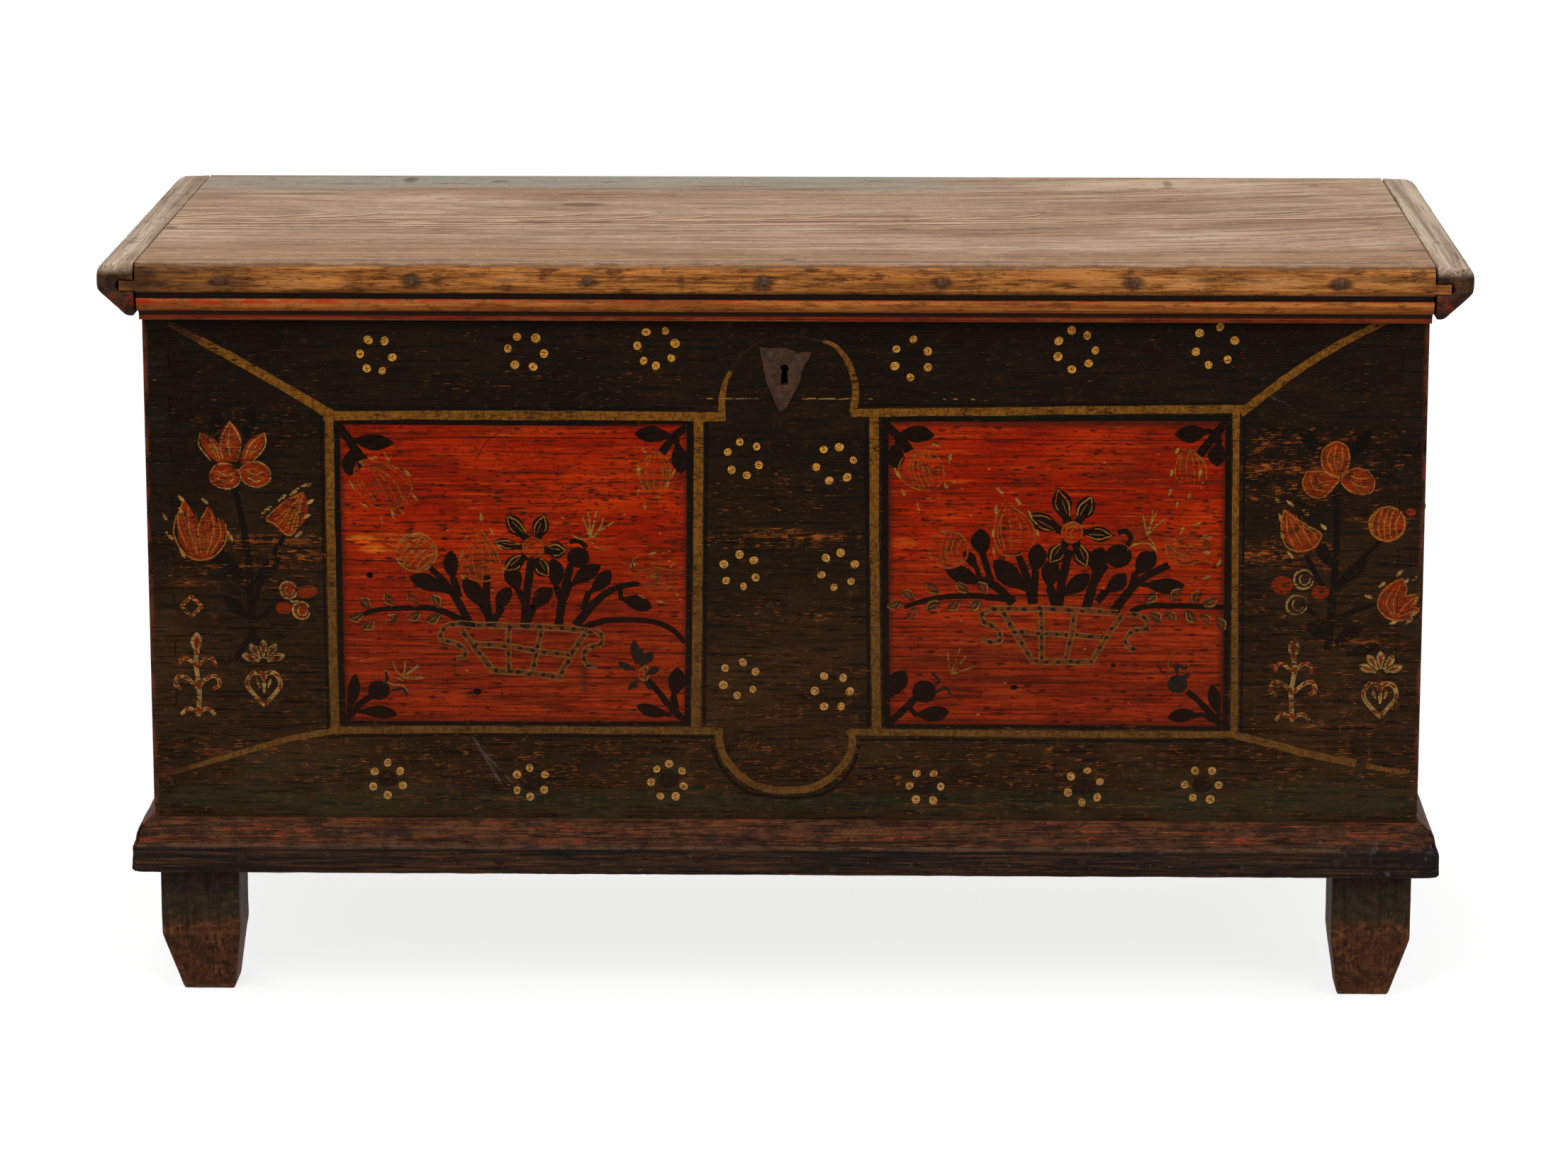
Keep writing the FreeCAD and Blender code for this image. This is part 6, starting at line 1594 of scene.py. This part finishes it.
# Almost black stems of the side plants
dark_lines.stems([
    (8, 5, -503, 350, -504, 400, -508, 450, -516, 496), (6, 4, -504, 396, -528, 422, -549, 430),
    (6, 4, -503, 382, -486, 424, -470, 452), (5, 4, -502, 366, -484, 380, -468, 388),
    (6, 4, -520, 330, -503, 352, -486, 334), (8, 5, 512, 345, 516, 400, 518, 450, 517, 496),
    (6, 4, 516, 386, 498, 420, 488, 440), (6, 4, 517, 400, 540, 430, 560, 450), (6, 4, 515, 372, 540, 384, 560, 390),
    (5, 4, 514, 362, 498, 380, 486, 390),
])
dark_lines.almonds([
    ((-537, 574), (-528, 545), 12), ((-498, 574), (-505, 545), 12), ((-540, 440), (-512, 414), 13),
    ((-475, 430), (-500, 404), 13), ((-530, 392), (-506, 372), 12), ((480, 558), (503, 530), 13),
    ((548, 556), (530, 530), 12), ((498, 452), (514, 424), 12), ((548, 432), (520, 408), 13),
    ((492, 372), (512, 352), 12), ((545, 368), (518, 352), 12), ((560, 350), (530, 340), 11),
], stem=0.4)
dark_lines.lay()
leafage.lay()

# The thin pale crack under the escutcheon
hair = Coat("pale_crack", "cream_on_ground", 0.00026)
for x0, x1 in ((-74, -66), (-60, -24), (16, 30), (31, 62), (64, 68), (76, 82), (148, 151), (158, 162), (174, 178)):
    hair.line([(x0, 583), ((x0 + x1) / 2, 583.3), (x1, 583.1)], 1.1, 0.4)
hair.lay()


# Worn copies: how far from its seat a piece is held, and the paces of dents and chips in 1/m
seat_reach = 0.009
smooth_rounds = 5
dent_pace = 34
chip_pace = 75
chip_level = 0.42
chip_shift = Vector((4.1, 0, 0))


def worn_copy(name, body, finish, cell, dent, seat=None):
    """An own copy of a CAD piece, its edges rounded and dented by wear, inside the piece's own box.

    seat gives the axis and place of the face that stays as it is, against the next piece."""
    low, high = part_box(name)
    form = bmesh.new()
    form.from_mesh(nodes[name].data)
    bmesh.ops.remove_doubles(form, verts=form.verts, dist=1e-6)
    mesh = bpy.data.meshes.new(name + "_block")
    form.to_mesh(mesh)
    form.free()
    block = placed(name + "_block", mesh)
    skin = block.modifiers.new("skin", "REMESH")
    skin.mode = "VOXEL"
    skin.voxel_size = cell
    graph = bpy.context.evaluated_depsgraph_get()
    worn = bpy.data.meshes.new_from_object(block.evaluated_get(graph))
    bpy.data.objects.remove(block)
    form = bmesh.new()
    form.from_mesh(worn)
    before = [vert.co.copy() for vert in form.verts]
    for _ in range(smooth_rounds):
        bmesh.ops.smooth_vert(form, verts=form.verts, factor=0.5, use_axis_x=True, use_axis_y=True, use_axis_z=True)
    form.normal_update()
    for vert, start in zip(form.verts, before):
        place = vert.co
        soft = noise.fractal(place * dent_pace, 1.0, 2.0, 4) * 0.5 + 0.5
        chip = max(0.0, noise.noise(place * chip_pace + chip_shift) - chip_level) * 3.0
        moved = place - vert.normal * dent * (soft + chip)
        if seat:
            free = min(1.0, abs(start[seat[0]] - seat[1]) / seat_reach)
            moved = start.lerp(moved, free)
        vert.co = [min(max(moved[i], low[i]), high[i]) for i in range(3)]
    for face in form.faces:
        face.smooth = True
    form.to_mesh(worn)
    form.free()
    worn.materials.clear()
    worn.materials.append(finishes[finish])
    made = placed(name + "_worn", worn)
    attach(made, body)
    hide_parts(name)


for place in ("front_left", "front_right", "rear_left", "rear_right"):
    worn_copy(place + "_foot", "case", "foot_wood", 0.002, 0.0006)
for side, corner in (("left", 1), ("right", 0)):
    cleat, plinth = "lid_" + side + "_cleat", "plinth_" + side
    worn_copy(cleat, "lid", "cleat_wood", 0.0022, 0.0007, (0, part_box(cleat)[corner][0]))
    worn_copy(plinth, "case", "plinth_side_wood", 0.0026, 0.0008, (0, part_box(plinth)[corner][0]))
worn_copy("plinth_front", "case", "plinth_front_wood", 0.0026, 0.0008, (1, front_plane))


def direct_rays(s):
    """1 for what the camera sees itself, by reflection or through a clear body, 0 for light that only lights."""
    seen = s.node("ShaderNodeLightPath").outputs
    return s.most(seen["Is Camera Ray"], seen["Is Glossy Ray"], seen["Is Transmission Ray"])


# Floor, world and lamps
floor_tone = 0.3
floor_lift = 0.8
world_level = 0.74
floor_reach = 14.0

pale_floor = bpy.data.materials.new("pale_floor")
pale_floor.use_nodes = True
pale_floor.node_tree.nodes.clear()
s = Shades(pale_floor.node_tree)
matte = s.node("ShaderNodeBsdfDiffuse")
matte.inputs["Color"].default_value = (floor_tone, floor_tone, floor_tone, 1)
glow = s.node("ShaderNodeEmission")
s.put(glow.inputs["Strength"], s.times(direct_rays(s), floor_lift))
both = s.node("ShaderNodeAddShader")
s.put(both.inputs[0], matte.outputs[0])
s.put(both.inputs[1], glow.outputs[0])
out = s.node("ShaderNodeOutputMaterial")
s.put(out.inputs["Surface"], both.outputs[0])
floor_mesh = bpy.data.meshes.new("floor")
floor_mesh.from_pydata([(x * floor_reach, y * floor_reach, 0) for x, y in ((-1, -1), (1, -1), (1, 1), (-1, 1))], [],
                       [(0, 1, 2, 3)])
floor_mesh.materials.append(pale_floor)
floor = placed("floor", floor_mesh)

world = bpy.data.worlds.new("studio")
bpy.context.scene.world = world
world.use_nodes = True
world.node_tree.nodes.clear()
s = Shades(world.node_tree)
sky = s.node("ShaderNodeBackground")
white = s.node("ShaderNodeBackground")
sky.inputs["Color"].default_value = (1, 1, 1, 1)
sky.inputs["Strength"].default_value = world_level
white.inputs["Color"].default_value = (1, 1, 1, 1)
either = s.node("ShaderNodeMixShader")
s.put(either.inputs[0], direct_rays(s))
s.put(either.inputs[1], sky.outputs[0])
s.put(either.inputs[2], white.outputs[0])
out = s.node("ShaderNodeOutputWorld")
s.put(out.inputs["Surface"], either.outputs[0])


def lamp(name, place, target, power, across, high):
    """A soft rectangular lamp that looks at a target."""
    data = bpy.data.lights.new(name, "AREA")
    data.shape = "RECTANGLE"
    data.size, data.size_y = across, high
    data.energy = power
    made = placed(name, data)
    made.location = place
    made.rotation_euler = (Vector(target) - Vector(place)).to_track_quat("-Z", "Y").to_euler()


lamp("key", (-1.4, -3.0, 3.2), (0, -0.2, 0.4), 56, 2.6, 1.8)
lamp("fill", (2.2, -2.8, 1.9), (0, -0.2, 0.4), 34, 2.4, 1.8)
lamp("back", (0.2, 2.6, 3.0), (0, 0, 0.5), 8, 3.0, 1.4)

camera_data = bpy.data.cameras.new("camera")
camera_data.sensor_fit = "HORIZONTAL"
camera_data.sensor_width = sensor_width
camera_data.lens = camera_lens
camera_data.clip_end = 60
camera = placed("camera", camera_data)
forward = Vector((
    math.sin(camera_yaw) * math.cos(camera_pitch), math.cos(camera_yaw) * math.cos(camera_pitch),
    -math.sin(camera_pitch)))
right = Vector((math.cos(camera_yaw), -math.sin(camera_yaw), 0))
above = right.cross(forward)
camera.matrix_world = Matrix.Translation(camera_place) @ Matrix(
    (right, above, -forward)).transposed().to_4x4()
bpy.context.scene.camera = camera
bpy.context.scene.view_settings.view_transform = "Standard"
